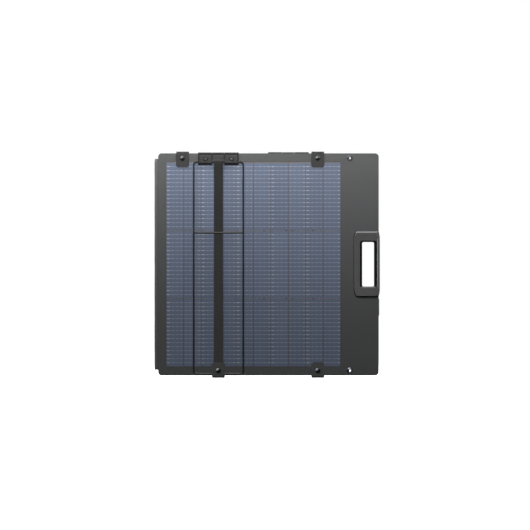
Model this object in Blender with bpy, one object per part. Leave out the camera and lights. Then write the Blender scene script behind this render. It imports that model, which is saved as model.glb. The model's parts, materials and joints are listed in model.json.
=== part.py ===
"""Folding bifacial solar panel, four sections in an accordion fold, with two wire kickstands
and a two-part carrying handle.

Sizes are in millimetres and are scaled to metres as they are built; +Z is up. The folded pack
stands on its lower edge. The origin is the middle of that edge, in the middle of section 1's
rear cover sheet. Section 1 is nearest (-Y) and section 4 furthest (+Y), each with its rear
face outwards. The accordion opens to -X: section 1 stays, and the others swing out through +Y.
"""

import math

import bmesh
import bpy
from mathutils import Vector

MM = 0.001

# Boards
HEIGHT = 598.5              # height of every section
RIGHT_WIDE = 296.3          # right edge of sections 1 and 4, which carry the handle
RIGHT_NARROW = 217.5        # right edge of sections 2 and 3, at the fold 2-3
LEFT = -RIGHT_WIDE          # left edge of every section, where the folds 1-2 and 3-4 are
BOARD_CORNER = 10.8
SHEET = 1.5                 # thickness of a cover sheet
LAMINATE = 0.9              # thickness of the cell laminate
GAP = 0.3                   # clearance between neighbouring pieces
BOARD = 2 * SHEET + 2 * GAP + LAMINATE
PITCH = 6.1                 # depth from one section to the next when folded
SECTION_1_REAR = -SHEET / 2
WINDOW = (-276.0, 193.9, 24.0, 575.4)   # opening over the cells: x0, x1, z0, z1
WINDOW_CORNER = 2.0

# Folds
REACH_LEFT = 11.4           # how far a fold strip stands out past the board edges
REACH_RIGHT = REACH_LEFT - 0.75
FOLD_Z = (15.1, 583.7)
STRIP = 1.2                 # thickness of a fold strip
STRIP_CLEAR = 0.35          # from the board edge in x, and from the boards' outer faces in y

# Kickstands; "stand" distances are measured outwards from the rear face
STAND_X = {1: -135.85, 4: 53.0}
WIRE_R = 2.5
CROSSBAR_R = WIRE_R * 0.88
BORE_R = WIRE_R + 0.35      # bore for the wire through the brackets
BORE_HALF = 80.0            # half the bore cutter's length
WIRE_HALF = 66.8            # half the distance between the side wires
WIRE_TOP, WIRE_CROSS, WIRE_BOTTOM = 574.0, 385.4, 4.3
WIRE_CORNER = 7.0
WIRE_STAND = 4.0            # stand of the wire's centre
BRACKET_WIDTH, BRACKET_Z = 38.0, (568.0, 600.8)
BRACKET_THICK = 8.2
BRACKET_SPLIT = 16.8        # half the distance between the two brackets
BRACKET_CORNER = 2.0
RIVET_Z, RIVET_X = 583.7, 35.1          # x is from the kickstand's middle
RIVET_HOLE_R, RIVET_SHANK_R = 2.4, 2.0
RIVET_HEAD_R, RIVET_TAIL_R = 6.9, 4.0
RIVET_CUT_EXTRA = 3.0       # how far the hole cutter runs past each bracket face
CLIP_Z = (580.9, 599.2)
CLIP_SIDE_GAP, CLIP_SET_BACK, CLIP_CORNER = 0.6, 0.5, 1.5
WEBBING_HALF, WEBBING_THICK, WEBBING_SHIFT = 11.85, 1.0, 0.5

# Handle
HANDLE_X, HANDLE_Z = (229.1, 299.7), (210.9, 389.1)
GRIP_X, GRIP_Z = (252.1, 285.0), (239.2, 359.6)     # straight opening
RIM_X, RIM_Z = (247.6, 291.8), (236.5, 362.6)       # its drafted mouth in the outer shell
GRIP_CORNER, RIM_CORNER = 4.0, 6.0
GRIP_CLEAR = 0.6            # board opening around the grip opening
SHOULDER_DROP = 22.0        # height of the curve at each corner of the handle
SHOULDER_STEPS = 4
SHELL_OUT, SHELL_IN = 4.15, 6.4         # thickness of the outer and inner shells
OUTER_TAPER, INNER_BASE_INSET = 1.2, 0.6
DRAFT_EXTRA, PASS_EXTRA = 0.4, 2.0      # how far the cutters' ends are shifted

# Corner eyelets
EYELETS = {"upper": (218.5, 585.1), "lower": (218.5, 13.5)}     # x, z
EYELET_HOLE, EYELET_R, EYELET_BORE = 5.3, 7.25, 4.0
EYELET_NECK = EYELET_HOLE - 0.4

# Closure straps with snaps: name, middle x, at the top edge, passes over a kickstand wire
CLOSURES = (
    ("top_left", -232.0, True, False),
    ("top_right", 132.5, True, False),
    ("bottom_left", -135.4, False, True),
    ("bottom_right", 132.5, False, False),
)
STRAP_HALF, STRAP_THICK = 17.0, 1.0
STRAP_BEND = 2.6            # radius of the strap's turns
STRAP_RISE_TOP, STRAP_RISE_BOTTOM = 4.5, 5.1    # strap's middle plane beyond the board edge
STRAP_SEWN = (-28.0, -16.0)             # stations on section 4, from the strap's level
FLAP_STAND, FLAP_STAND_WIRE = 3.55, 7.4         # flap's middle plane off section 1's rear
FLAP_START = 3.2            # back from the strap's level
FLAP_STRAIGHT = 8.0         # second station, back from the board edge
FLAP_REACH, FLAP_CORNER, FLAP_CORNER_STEPS = 36.6, 7.0, 5
SNAP_INSET = 13.5

# Junction box, cable and connector
BOX_X, BOX_Z = (236.0, 298.5), (159.6, 208.2)
BOX_BASE, BOX_LID = 6.6, 3.0            # thicknesses
CABLE_R, CABLE_DEPTH = 2.6, 4.6         # depth is from the box's seat
CABLE_X, CONNECTOR_X = 258.0, 282.0     # the cable's two legs
LOOP_Z = 70.0               # centre of the loop between the legs
LEG_FOOT_Z, LEG_MIDDLE_Z = 74.0, 120.0
CONNECTOR_FLAT = 4.2        # limit of the connector's half-thickness in y
CONNECTOR_ROWS = (          # z, half-width
    (97.0, 4.6), (101.0, 5.0), (101.5, 6.6), (126.0, 6.6),
    (127.0, 5.2), (141.0, 5.2), (143.0, 4.2),
)

# Materials: base colour, roughness, metallic
MATERIALS = {
    "cover": ((0.085, 0.087, 0.088), 0.55, 0.0),
    "cells": ((0.10, 0.115, 0.155), 0.35, 0.0),
    "strip": ((0.07, 0.07, 0.072), 0.5, 0.0),
    "webbing": ((0.03, 0.03, 0.031), 0.9, 0.0),
    "strap": ((0.055, 0.056, 0.057), 0.6, 0.0),
    "moulded": ((0.06, 0.061, 0.063), 0.5, 0.0),
    "wire": ((0.03, 0.03, 0.031), 0.35, 0.0),
    "snap": ((0.02, 0.02, 0.02), 0.15, 0.0),
    "metal": ((0.55, 0.56, 0.57), 0.3, 1.0),
    "cable": ((0.02, 0.02, 0.02), 0.6, 0.0),
}


# ---------------------------------------------------------------- objects
def material(key):
    found = bpy.data.materials.get(key)
    if found:
        return found
    made = bpy.data.materials.new(key)
    made.use_nodes = True
    shader = made.node_tree.nodes["Principled BSDF"]
    colour, roughness, metallic = MATERIALS[key]
    shader.inputs["Base Color"].default_value = (*colour, 1)
    shader.inputs["Roughness"].default_value = roughness
    shader.inputs["Metallic"].default_value = metallic
    return made


def link(obj, parent):
    """Put obj in the scene, under parent but without moving it."""
    bpy.context.scene.collection.objects.link(obj)
    if parent is not None:
        obj.parent = parent
        obj.matrix_parent_inverse = parent.matrix_world.inverted()
    return obj


def pivot(name, x, y, z, parent):
    """An empty that later pieces can hang from."""
    obj = bpy.data.objects.new(name, None)
    obj.location = (x * MM, y * MM, z * MM)
    link(obj, parent)
    bpy.context.view_layer.update()
    return obj


def loft(name, rings, key, parent=None, closed=False, smooth=None):
    """A solid skinned over rings of (x, y, z) points; a ring of one point is a pole.

    closed joins the last ring to the first; otherwise the open ends are capped.
    smooth is the angle in degrees above which an edge stays sharp; None shades flat.
    """
    bm = bmesh.new()
    rows = [[bm.verts.new([v * MM for v in point]) for point in ring] for ring in rings]
    pairs = list(zip(rows, rows[1:]))
    if closed:
        pairs.append((rows[-1], rows[0]))
    for one, two in pairs:
        for k in range(max(len(one), len(two))):
            corners = (
                one[k % len(one)], one[(k + 1) % len(one)],
                two[(k + 1) % len(two)], two[k % len(two)],
            )
            # at a pole two corners are the same, which leaves a triangle
            bm.faces.new(list(dict.fromkeys(corners)))
    if not closed:
        for cap in (rows[0], list(reversed(rows[-1]))):
            if len(cap) > 1:
                bm.faces.new(cap)
    bmesh.ops.recalc_face_normals(bm, faces=bm.faces)
    mesh = bpy.data.meshes.new(name)
    bm.to_mesh(mesh)
    bm.free()
    if smooth:
        mesh.shade_smooth()
        mesh.set_sharp_from_angle(angle=math.radians(smooth))
    mesh.materials.append(material(key))
    return link(bpy.data.objects.new(name, mesh), parent)


def cut(obj, cutter, how="DIFFERENCE"):
    modifier = obj.modifiers.new(f"cut_{cutter.name}", "BOOLEAN")
    modifier.operation = how
    modifier.solver = "EXACT"
    modifier.object = cutter
    cutter.hide_render = True
    cutter.display_type = "WIRE"


# ---------------------------------------------------------------- outlines
def arc(centre_a, centre_b, radius, start, end, steps):
    """Points on an arc in any plane, from start to end degrees."""
    angles = [math.radians(start + (end - start) * i / steps) for i in range(steps + 1)]
    return [(centre_a + radius * math.cos(a), centre_b + radius * math.sin(a)) for a in angles]


def rounded(x0, x1, z0, z1, r, steps):
    """A rectangle's outline with round corners, counter-clockwise in x, z."""
    return [
        *arc(x1 - r, z1 - r, r, 0, 90, steps),
        *arc(x0 + r, z1 - r, r, 90, 180, steps),
        *arc(x0 + r, z0 + r, r, 180, 270, steps),
        *arc(x1 - r, z0 + r, r, 270, 360, steps),
    ]


def inset_box(x_range, z_range, inset, r, steps):
    """A rounded rectangle, drawn in by inset on every side."""
    (x0, x1), (z0, z1) = x_range, z_range
    return rounded(x0 + inset, x1 - inset, z0 + inset, z1 - inset, r, steps)


def circle(x, z, r, steps):
    return arc(x, z, r, 0, 360, steps)[:-1]


# ---------------------------------------------------------------- solids
def sheet(name, loops, y0, y1, key, parent):
    """A flat sheet from y0 to y1: a filled 2-D curve, the first loop outside, the rest holes."""
    data = bpy.data.curves.new(name, "CURVE")
    data.dimensions = "2D"
    data.fill_mode = "BOTH"
    data.extrude = (y1 - y0) / 2 * MM
    for loop in loops:
        spline = data.splines.new("POLY")
        spline.points.add(len(loop) - 1)
        for point, (x, z) in zip(spline.points, loop):
            point.co = (x * MM, z * MM, 0, 1)
        spline.use_cyclic_u = True
    data.materials.append(material(key))
    obj = bpy.data.objects.new(name, data)
    obj.location = (0, (y0 + y1) / 2 * MM, 0)
    obj.rotation_euler = (math.pi / 2, 0, 0)
    return link(obj, parent)


def prism(name, outline, y0, y1, parent, top=None, key="moulded"):
    """A solid between outline at y0 and top (or the same outline) at y1."""
    low = [(x, y0, z) for x, z in outline]
    high = [(x, y1, z) for x, z in top or outline]
    return loft(name, [low, high], key, parent)


def ribbon(name, path, widths, thick, across, key, parent):
    """A strap of rectangular section along path, with a (low, high) width at each point.

    across "X" takes (y, z) points and lays the width along X; "Z" takes (x, y) points.
    """
    rings = []
    for i, (a, b) in enumerate(path):
        before, after = path[max(i - 1, 0)], path[min(i + 1, len(path) - 1)]
        run = Vector((after[0] - before[0], after[1] - before[1])).normalized()
        mitre = 1.0
        if 0 < i < len(path) - 1:
            arriving = Vector((a - before[0], b - before[1])).normalized()
            mitre = max(abs(arriving.dot(run)), 0.3)
        off_a, off_b = -run.y * thick / 2 / mitre, run.x * thick / 2 / mitre
        low, high = widths[i]
        ring = []
        for side, w in ((1, low), (1, high), (-1, high), (-1, low)):
            p, q = a + side * off_a, b + side * off_b
            ring.append((w, p, q) if across == "X" else (p, q, w))
        rings.append(ring)
    return loft(name, rings, key, parent, smooth=35)


def round_bar(name, path, y, r, sides, key, parent, closed=False, smooth=None):
    """A round bar along (x, z) points at one y, mitred at each point."""
    points = [Vector((x, y, z)) for x, z in path]
    count = len(points)
    depth = Vector((0, 1, 0))
    rings = []
    for i, point in enumerate(points):
        before = points[i - 1] if closed or i else point
        after = points[(i + 1) % count] if closed or i < count - 1 else point
        run = (after - before).normalized()
        side = run.cross(depth).normalized()
        stretch = 1.0
        if (point - before).length > 1e-6:
            stretch = 1 / max((point - before).normalized().dot(run), 0.5)
        ring = []
        for k in range(sides):
            a = 2 * math.pi * (k + 0.5) / sides
            ring.append(point + side * (r * math.cos(a) * stretch) + depth * (r * math.sin(a)))
        rings.append(ring)
    return loft(name, rings, key, parent, closed, smooth)


def turned(name, profile, x, z, steps, key, parent, closed=False):
    """A piece turned about the Y direction through (x, z), from (radius, y) points.

    A closed profile is a loop off the axis.
    """
    rings = []
    for r, y in profile:
        outline = circle(x, z, r, steps) if r > 0 else [(x, z)]
        rings.append([(px, y, pz) for px, pz in outline])
    return loft(name, rings, key, parent, closed, smooth=35)


# ---------------------------------------------------------------- where each section stands
OUTWARD = {1: -1, 2: 1, 3: -1, 4: 1}    # the way each rear face looks along Y
HOLDER = {1: None}                      # the fold pivot that carries each section


def near_face(n):
    """The y of section n's -Y face."""
    return SECTION_1_REAR + PITCH * (n - 1)


def off_rear(n, distance):
    """The y that lies distance outside section n's rear face."""
    rear = near_face(n) + (BOARD if OUTWARD[n] > 0 else 0)
    return rear + OUTWARD[n] * distance


def off_front(n, distance):
    """The y that lies distance outside section n's front face."""
    return off_rear(n, -BOARD - distance)


def fold_side(n):
    """For the fold between sections n and n + 1: board edge, its direction, strip reach."""
    return (RIGHT_NARROW, 1, REACH_RIGHT) if n == 2 else (LEFT, -1, REACH_LEFT)


def fold_pivot(n):
    edge, way, reach = fold_side(n)
    y = (near_face(n) + BOARD + near_face(n + 1)) / 2
    return pivot(f"fold_{n}_{n + 1}", edge + way * reach, y, 0, HOLDER[n])


# ---------------------------------------------------------------- boards and folds
def board(n):
    """Two cover sheets with the cell laminate between them."""
    wide = n in (1, 4)
    right = RIGHT_WIDE if wide else RIGHT_NARROW
    loops = [rounded(LEFT, right, 0, HEIGHT, BOARD_CORNER, 6)]
    if wide:
        loops.append(inset_box(GRIP_X, GRIP_Z, -GRIP_CLEAR, GRIP_CORNER, 3))
        loops += [circle(x, z, EYELET_HOLE, 16) for x, z in EYELETS.values()]
        loops += [
            circle(STAND_X[n] + side * RIVET_X, RIVET_Z, RIVET_HOLE_R, 10) for side in (-1, 1)
        ]
    window = [rounded(*WINDOW, WINDOW_CORNER, 2)]
    # name, depth of both faces below the rear face, material, further openings
    layers = (
        ("rear_cover", 0, SHEET, "cover", window),
        ("cell_laminate", SHEET + GAP, SHEET + GAP + LAMINATE, "cells", []),
        ("front_cover", BOARD - SHEET, BOARD, "cover", window),
    )
    for layer, start, end, key, openings in layers:
        y0, y1 = sorted((off_rear(n, -start), off_rear(n, -end)))
        sheet(f"section_{n}_{layer}", loops + openings, y0, y1, key, HOLDER[n])


def fold_strip(n):
    """The U-shaped strip that joins sections n and n + 1."""
    edge, way, reach = fold_side(n)
    low = near_face(n) + STRIP_CLEAR + STRIP / 2
    high = near_face(n + 1) + BOARD - STRIP_CLEAR - STRIP / 2
    r = (high - low) / 2
    bend = reach - r - STRIP / 2
    # x out from the board edge, y
    path = [
        (STRIP_CLEAR, low), (bend * 0.6, low),
        *arc(bend, (low + high) / 2, r, -90, 90, 8),
        (bend * 0.6, high), (STRIP_CLEAR, high),
    ]
    path = [(edge + way * out, y) for out, y in path]
    name = f"fold_strip_{n}_{n + 1}"
    ribbon(name, path, [FOLD_Z] * len(path), STRIP, "Z", "strip", HOLDER[n])


# ---------------------------------------------------------------- fasteners through a board
def fastener(name, n, x, z, rear_seat, rear_rows, front_rows, steps, key, closed=False):
    """A turned piece through section n.

    Its rows are (radius, height): over rear_seat outside the rear face, then over the
    clearance outside the front face.
    """
    profile = [(r, off_rear(n, rear_seat + height)) for r, height in rear_rows]
    profile += [(r, off_front(n, GAP + height)) for r, height in front_rows]
    turned(name, profile, x, z, steps, key, HOLDER[n], closed)


def rivet(name, n, x):
    head = (
        (0, 1.3), (3.2, 1.3), (3.6, 0.8), (5.6, 0.8),
        (RIVET_HEAD_R, 0.3), (RIVET_HEAD_R, 0), (RIVET_SHANK_R, 0),
    )
    tail = ((RIVET_SHANK_R, 0), (RIVET_TAIL_R, 0), (RIVET_TAIL_R, 0.6), (0, 0.9))
    seat = GAP + BRACKET_THICK + GAP
    fastener(name, n, x, RIVET_Z, seat, head, tail, 16, "moulded")


def eyelet(n, word):
    x, z = EYELETS[word]
    rear = (
        (EYELET_BORE, 0.5), (EYELET_BORE + 0.9, 1.1), (EYELET_R - 0.9, 0.8),
        (EYELET_R, 0.2), (EYELET_R, 0), (EYELET_NECK, 0),
    )
    front = (
        (EYELET_NECK, 0), (EYELET_R, 0), (EYELET_R, 0.4),
        (EYELET_BORE + 0.6, 0.8), (EYELET_BORE, 0.3),
    )
    fastener(f"section_{n}_{word}_eyelet", n, x, z, GAP, rear, front, 20, "metal", closed=True)


# ---------------------------------------------------------------- kickstands
def stand_wire(n):
    """The wire loop with its crossbar, on a pivot at the top bar."""
    middle, y = STAND_X[n], off_rear(n, WIRE_STAND)
    left, right = middle - WIRE_HALF, middle + WIRE_HALF
    top_pivot = pivot(f"kickstand_{n}_pivot", middle, y, WIRE_TOP, HOLDER[n])
    loop = rounded(left, right, WIRE_BOTTOM, WIRE_TOP, WIRE_CORNER, 4)
    wire = round_bar(
        f"kickstand_{n}_wire_loop", loop, y, WIRE_R, 10, "wire", top_pivot, closed=True, smooth=40
    )
    ends = [(left, WIRE_CROSS), (right, WIRE_CROSS)]
    crossbar = round_bar(
        f"kickstand_{n}_crossbar_union", ends, y, CROSSBAR_R, 10, "wire", top_pivot
    )
    cut(wire, crossbar, "UNION")


def stand_brackets(n):
    """Two riveted brackets that hold the wire's top bar."""
    middle, holder = STAND_X[n], HOLDER[n]
    ends = [(middle - BORE_HALF, WIRE_TOP), (middle + BORE_HALF, WIRE_TOP)]
    y_wire = off_rear(n, WIRE_STAND)
    bore = round_bar(f"kickstand_{n}_bore_cut", ends, y_wire, BORE_R, 16, "wire", holder)
    y0, y1 = sorted((off_rear(n, GAP), off_rear(n, GAP + BRACKET_THICK)))
    for side, word in ((-1, "left"), (1, "right")):
        name = f"kickstand_{n}_{word}"
        inner = middle + side * BRACKET_SPLIT
        x0, x1 = sorted((inner, inner + side * BRACKET_WIDTH))
        outline = rounded(x0, x1, *BRACKET_Z, BRACKET_CORNER, 3)
        bracket = prism(f"{name}_bracket", outline, y0, y1, holder)
        rivet_x = middle + side * RIVET_X
        hole = prism(
            f"{name}_rivet_hole_cut", circle(rivet_x, RIVET_Z, RIVET_HOLE_R, 10),
            y0 - RIVET_CUT_EXTRA, y1 + RIVET_CUT_EXTRA, holder,
        )
        cut(bracket, bore)
        cut(bracket, hole)
        rivet(f"{name}_rivet", n, rivet_x)


def stand_strap(n):
    """The webbing strap, and the clip between the brackets that clamps its upper end."""
    middle = STAND_X[n]
    half = BRACKET_SPLIT - CLIP_SIDE_GAP
    y0, y1 = sorted((
        off_rear(n, 2 * GAP + WEBBING_THICK),
        off_rear(n, GAP + BRACKET_THICK - CLIP_SET_BACK),
    ))
    outline = rounded(middle - half, middle + half, *CLIP_Z, CLIP_CORNER, 3)
    prism(f"kickstand_{n}_strap_clip", outline, y0, y1, HOLDER[n])

    # over the wire's top bar, then along the board, under the crossbar, to the lower edge
    flat = GAP + WEBBING_THICK / 2
    over = WIRE_STAND + WIRE_R + GAP + WEBBING_THICK / 2
    run = (                 # stand, z
        (flat, 597.0), (flat, 580.6), (flat + 1.0, 579.4), (over - 1.2, 578.3), (over, 576.8),
        (over, 571.4), (over - 1.2, 569.4), (flat, 561.0), (flat, 300.0), (flat, 8.6),
    )
    path = [(off_rear(n, stand), z) for stand, z in run]
    centre = middle + WEBBING_SHIFT
    widths = [(centre - WEBBING_HALF, centre + WEBBING_HALF)] * len(path)
    name = f"kickstand_{n}_webbing_strap"
    ribbon(name, path, widths, WEBBING_THICK, "X", "webbing", HOLDER[n])


# ---------------------------------------------------------------- handle
def handle_outline(inset):
    """The handle's outline, with a parabolic shoulder at each corner."""
    x0, x1 = HANDLE_X[0] + inset, HANDLE_X[1] - inset
    z0, z1 = HANDLE_Z[0] + inset, HANDLE_Z[1] - inset

    def end(z_end, up):
        """One end, from its right side to its left."""
        parts = [i / SHOULDER_STEPS for i in range(SHOULDER_STEPS + 1)]
        right = [(x1 - 3.4 * t ** 2, z_end - up * SHOULDER_DROP * (1 - t)) for t in parts]
        left = [(x0 + 6.6 * t ** 2, z_end - up * SHOULDER_DROP * (1 - t)) for t in parts]
        return right + [(x1 - 5.5, z_end), (x0 + 8.5, z_end)] + left[::-1]

    return end(z1, 1) + end(z0, -1)[::-1]


def handle_half(n):
    """The outer shell on section n's rear face and the inner shell on its front face."""
    holder = HOLDER[n]
    grip = inset_box(GRIP_X, GRIP_Z, 0, GRIP_CORNER, 4)
    rim = inset_box(RIM_X, RIM_Z, 0, RIM_CORNER, 4)
    tapered = handle_outline(OUTER_TAPER)

    y0, y1 = off_rear(n, GAP), off_rear(n, GAP + SHELL_OUT)
    outer = prism(f"handle_{n}_outer_shell", handle_outline(0), y0, y1, holder, tapered)
    draft = prism(
        f"handle_{n}_grip_cut", grip,
        off_rear(n, GAP - DRAFT_EXTRA), off_rear(n, GAP + SHELL_OUT + DRAFT_EXTRA), holder, rim,
    )
    # on section 1, where y1 < y0, the shifts bring this cutter's ends together inside the
    # shell, and the drafted cutter alone makes the opening
    straight = prism(
        f"handle_{n}_grip_pass_cut", grip, y0 - PASS_EXTRA, y1 + PASS_EXTRA, holder
    )
    cut(outer, draft)
    cut(outer, straight)

    y0, y1 = off_front(n, GAP), off_front(n, GAP + SHELL_IN)
    base = handle_outline(INNER_BASE_INSET)
    inner = prism(f"handle_{n}_inner_shell", base, y0, y1, holder, tapered)
    straight = prism(
        f"handle_{n}_inner_grip_cut", grip,
        min(y0, y1) - PASS_EXTRA, max(y0, y1) + PASS_EXTRA, holder,
    )
    cut(inner, straight)


# ---------------------------------------------------------------- closures
def closure_strap(word, x, level, up, flap_y):
    """From section 4's rear face over the edges of all four sections to the crease."""
    back = off_rear(4, GAP + STRAP_THICK / 2)
    # y, distance beyond the strap's level
    path = [(back, station) for station in STRAP_SEWN]
    path += arc(back - STRAP_BEND, -STRAP_BEND, STRAP_BEND, 0, 90, 4)
    path += arc(flap_y + STRAP_BEND, -STRAP_BEND, STRAP_BEND, 90, 172, 4)
    path = [(y, level + up * rise) for y, rise in path]
    widths = [(x - STRAP_HALF, x + STRAP_HALF)] * len(path)
    ribbon(f"closure_strap_{word}", path, widths, STRAP_THICK, "X", "strap", HOLDER[4])


def closure_flap(word, x, edge, level, up, flap_y, crease):
    """The flat flap over section 1's rear face, with a round-cornered end."""
    end = edge - up * FLAP_REACH
    path = [(flap_y, level - up * FLAP_START), (flap_y, edge - up * FLAP_STRAIGHT)]
    widths = [(x - STRAP_HALF, x + STRAP_HALF)] * 2
    for i in range(FLAP_CORNER_STEPS + 1):
        a = math.radians(90 * i / FLAP_CORNER_STEPS)
        path.append((flap_y, end + up * FLAP_CORNER * (1 - math.sin(a))))
        half = STRAP_HALF - FLAP_CORNER * (1 - math.cos(a))
        widths.append((x - half, x + half))
    ribbon(f"closure_flap_{word}", path, widths, STRAP_THICK, "X", "strap", crease)


def snap(word, x, z, flap_y, over_wire, crease):
    """The cap on the flap, and the stud on section 1 or on the webbing strap there."""
    seat = flap_y - STRAP_THICK / 2 - GAP
    cap = (
        (0, seat - 3.3), (2.4, seat - 3.15), (4.5, seat - 2.5), (5.9, seat - 1.5),
        (6.5, seat - 0.5), (6.5, seat), (0, seat),
    )
    turned(f"snap_cap_{word}", cap, x, z, 20, "snap", crease)
    base = off_rear(1, GAP * 2 + WEBBING_THICK if over_wire else GAP)
    tip = flap_y + STRAP_THICK / 2 + GAP
    stud = (
        (0, tip), (2.2, tip), (2.6, tip + 0.5), (2.2, base - 0.5),
        (5.0, base - 0.4), (5.0, base), (0, base),
    )
    turned(f"snap_stud_{word}", stud, x, z, 16, "metal", None)


def closure(word, x, at_top, over_wire):
    edge, up, rise = (HEIGHT, 1, STRAP_RISE_TOP) if at_top else (0.0, -1, STRAP_RISE_BOTTOM)
    level = edge + up * rise
    flap_y = off_rear(1, FLAP_STAND_WIRE if over_wire else FLAP_STAND)
    closure_strap(word, x, level, up, flap_y)
    crease_z = level - up * STRAP_BEND
    crease = pivot(f"closure_flap_{word}_crease", x, flap_y, crease_z, HOLDER[4])
    closure_flap(word, x, edge, level, up, flap_y, crease)
    snap(word, x, edge - up * SNAP_INSET, flap_y, over_wire, crease)


# ---------------------------------------------------------------- junction box and output
def box_part(name, start, end, start_inset, start_corner, end_inset, end_corner):
    """A tapered block between two distances from the box's seat on section 4's front face."""
    prism(
        name, inset_box(BOX_X, BOX_Z, start_inset, start_corner, 3),
        off_front(4, GAP + start), off_front(4, GAP + end), HOLDER[4],
        inset_box(BOX_X, BOX_Z, end_inset, end_corner, 3),
    )


def junction_box():
    lid = BOX_BASE + GAP
    box_part("junction_box_base", 0, BOX_BASE, 0, 4.0, 0.8, 3.6)
    box_part("junction_box_lid", lid, lid + BOX_LID, 0.6, 3.6, 2.0, 3.0)


def output_cable():
    """The cable from the box down, round a half loop and up to its connector."""
    y = off_front(4, GAP + CABLE_DEPTH)
    path = [(CABLE_X, BOX_Z[0] - GAP), (CABLE_X, LEG_MIDDLE_Z), (CABLE_X, LEG_FOOT_Z)]
    loop_r = (CONNECTOR_X - CABLE_X) / 2
    path += arc(CABLE_X + loop_r, LOOP_Z, loop_r, 180, 360, 8)
    path += [(CONNECTOR_X, LEG_FOOT_Z), (CONNECTOR_X, CONNECTOR_ROWS[0][0] - GAP)]
    round_bar("output_cable", path, y, CABLE_R, 10, "cable", HOLDER[4], smooth=40)

    unit = circle(0, 0, 1, 12)
    rings = [
        [(CONNECTOR_X + half * u, y + min(half, CONNECTOR_FLAT) * v, z) for u, v in unit]
        for z, half in CONNECTOR_ROWS
    ]
    loft("output_connector", rings, "cable", HOLDER[4], smooth=40)


# ---------------------------------------------------------------- build
for old in list(bpy.data.objects):
    bpy.data.objects.remove(old, do_unlink=True)
bpy.context.scene.unit_settings.scale_length = 1.0

for n in (1, 2, 3):
    HOLDER[n + 1] = fold_pivot(n)
for n in (1, 2, 3, 4):
    board(n)
for n in (1, 2, 3):
    fold_strip(n)
for n in (1, 4):
    stand_wire(n)
    stand_brackets(n)
    stand_strap(n)
    handle_half(n)
    for word in EYELETS:
        eyelet(n, word)
for entry in CLOSURES:
    closure(*entry)
junction_box()
output_cable()
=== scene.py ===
"""A folding bifacial solar panel, folded into a pack of four sections.

The pack stands on its lower edge: +X towards the handles, +Z up. The rear faces of sections 1
and 3 face -Y, those of 2 and 4 face +Y. Sections 1 and 4 are outermost and carry the handles
and kickstands. Lengths are millimetres unless noted; MM turns them into metres.
"""

import json
import math
import random

import bmesh
import bpy
import numpy as np
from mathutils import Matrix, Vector

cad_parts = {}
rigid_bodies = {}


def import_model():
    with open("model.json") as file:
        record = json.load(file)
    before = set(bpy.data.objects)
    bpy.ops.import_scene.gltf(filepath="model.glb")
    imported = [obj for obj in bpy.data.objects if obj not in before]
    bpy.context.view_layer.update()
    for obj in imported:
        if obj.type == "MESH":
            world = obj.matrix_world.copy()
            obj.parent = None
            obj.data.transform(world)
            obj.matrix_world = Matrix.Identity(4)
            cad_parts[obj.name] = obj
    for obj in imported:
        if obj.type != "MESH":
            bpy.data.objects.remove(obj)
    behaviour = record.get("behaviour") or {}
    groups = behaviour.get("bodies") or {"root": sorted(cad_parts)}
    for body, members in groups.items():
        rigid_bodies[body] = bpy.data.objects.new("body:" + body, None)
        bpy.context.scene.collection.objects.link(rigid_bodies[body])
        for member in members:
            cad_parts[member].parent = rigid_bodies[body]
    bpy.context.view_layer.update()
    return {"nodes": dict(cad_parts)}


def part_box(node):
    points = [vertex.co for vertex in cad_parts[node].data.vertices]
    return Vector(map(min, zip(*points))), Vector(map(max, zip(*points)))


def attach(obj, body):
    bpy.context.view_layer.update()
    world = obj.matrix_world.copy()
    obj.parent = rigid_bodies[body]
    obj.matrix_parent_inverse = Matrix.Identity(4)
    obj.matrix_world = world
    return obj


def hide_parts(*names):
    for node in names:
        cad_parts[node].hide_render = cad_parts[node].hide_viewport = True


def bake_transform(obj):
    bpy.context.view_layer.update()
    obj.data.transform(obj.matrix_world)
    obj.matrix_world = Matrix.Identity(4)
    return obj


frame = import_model()
NODES = frame["nodes"]
MM = 0.001
rng = random.Random(7)
MADE = []  # the objects that ride on one rigid body


def node_box(name):
    low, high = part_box(name)
    return [v / MM for v in low], [v / MM for v in high]


# ================================================================ shader helpers
WHITE = (1.0, 1.0, 1.0)


def grey(tone, tint=WHITE):
    return (*(tone * t for t in tint), 1)


def add_node(tree, kind, inputs=None, **settings):
    """A shader node with its settings made and its inputs linked or filled in."""
    node = tree.nodes.new("ShaderNode" + kind)
    for key, value in settings.items():
        setattr(node, key, value)
    put(node, inputs or {})
    return node


def put(node, inputs):
    for key, value in inputs.items():
        if isinstance(value, bpy.types.NodeSocket):
            node.id_data.links.new(value, node.inputs[key])
        else:
            node.inputs[key].default_value = value


def fresh_tree(owner):
    owner.use_nodes = True
    owner.node_tree.nodes.clear()
    return owner.node_tree


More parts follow.
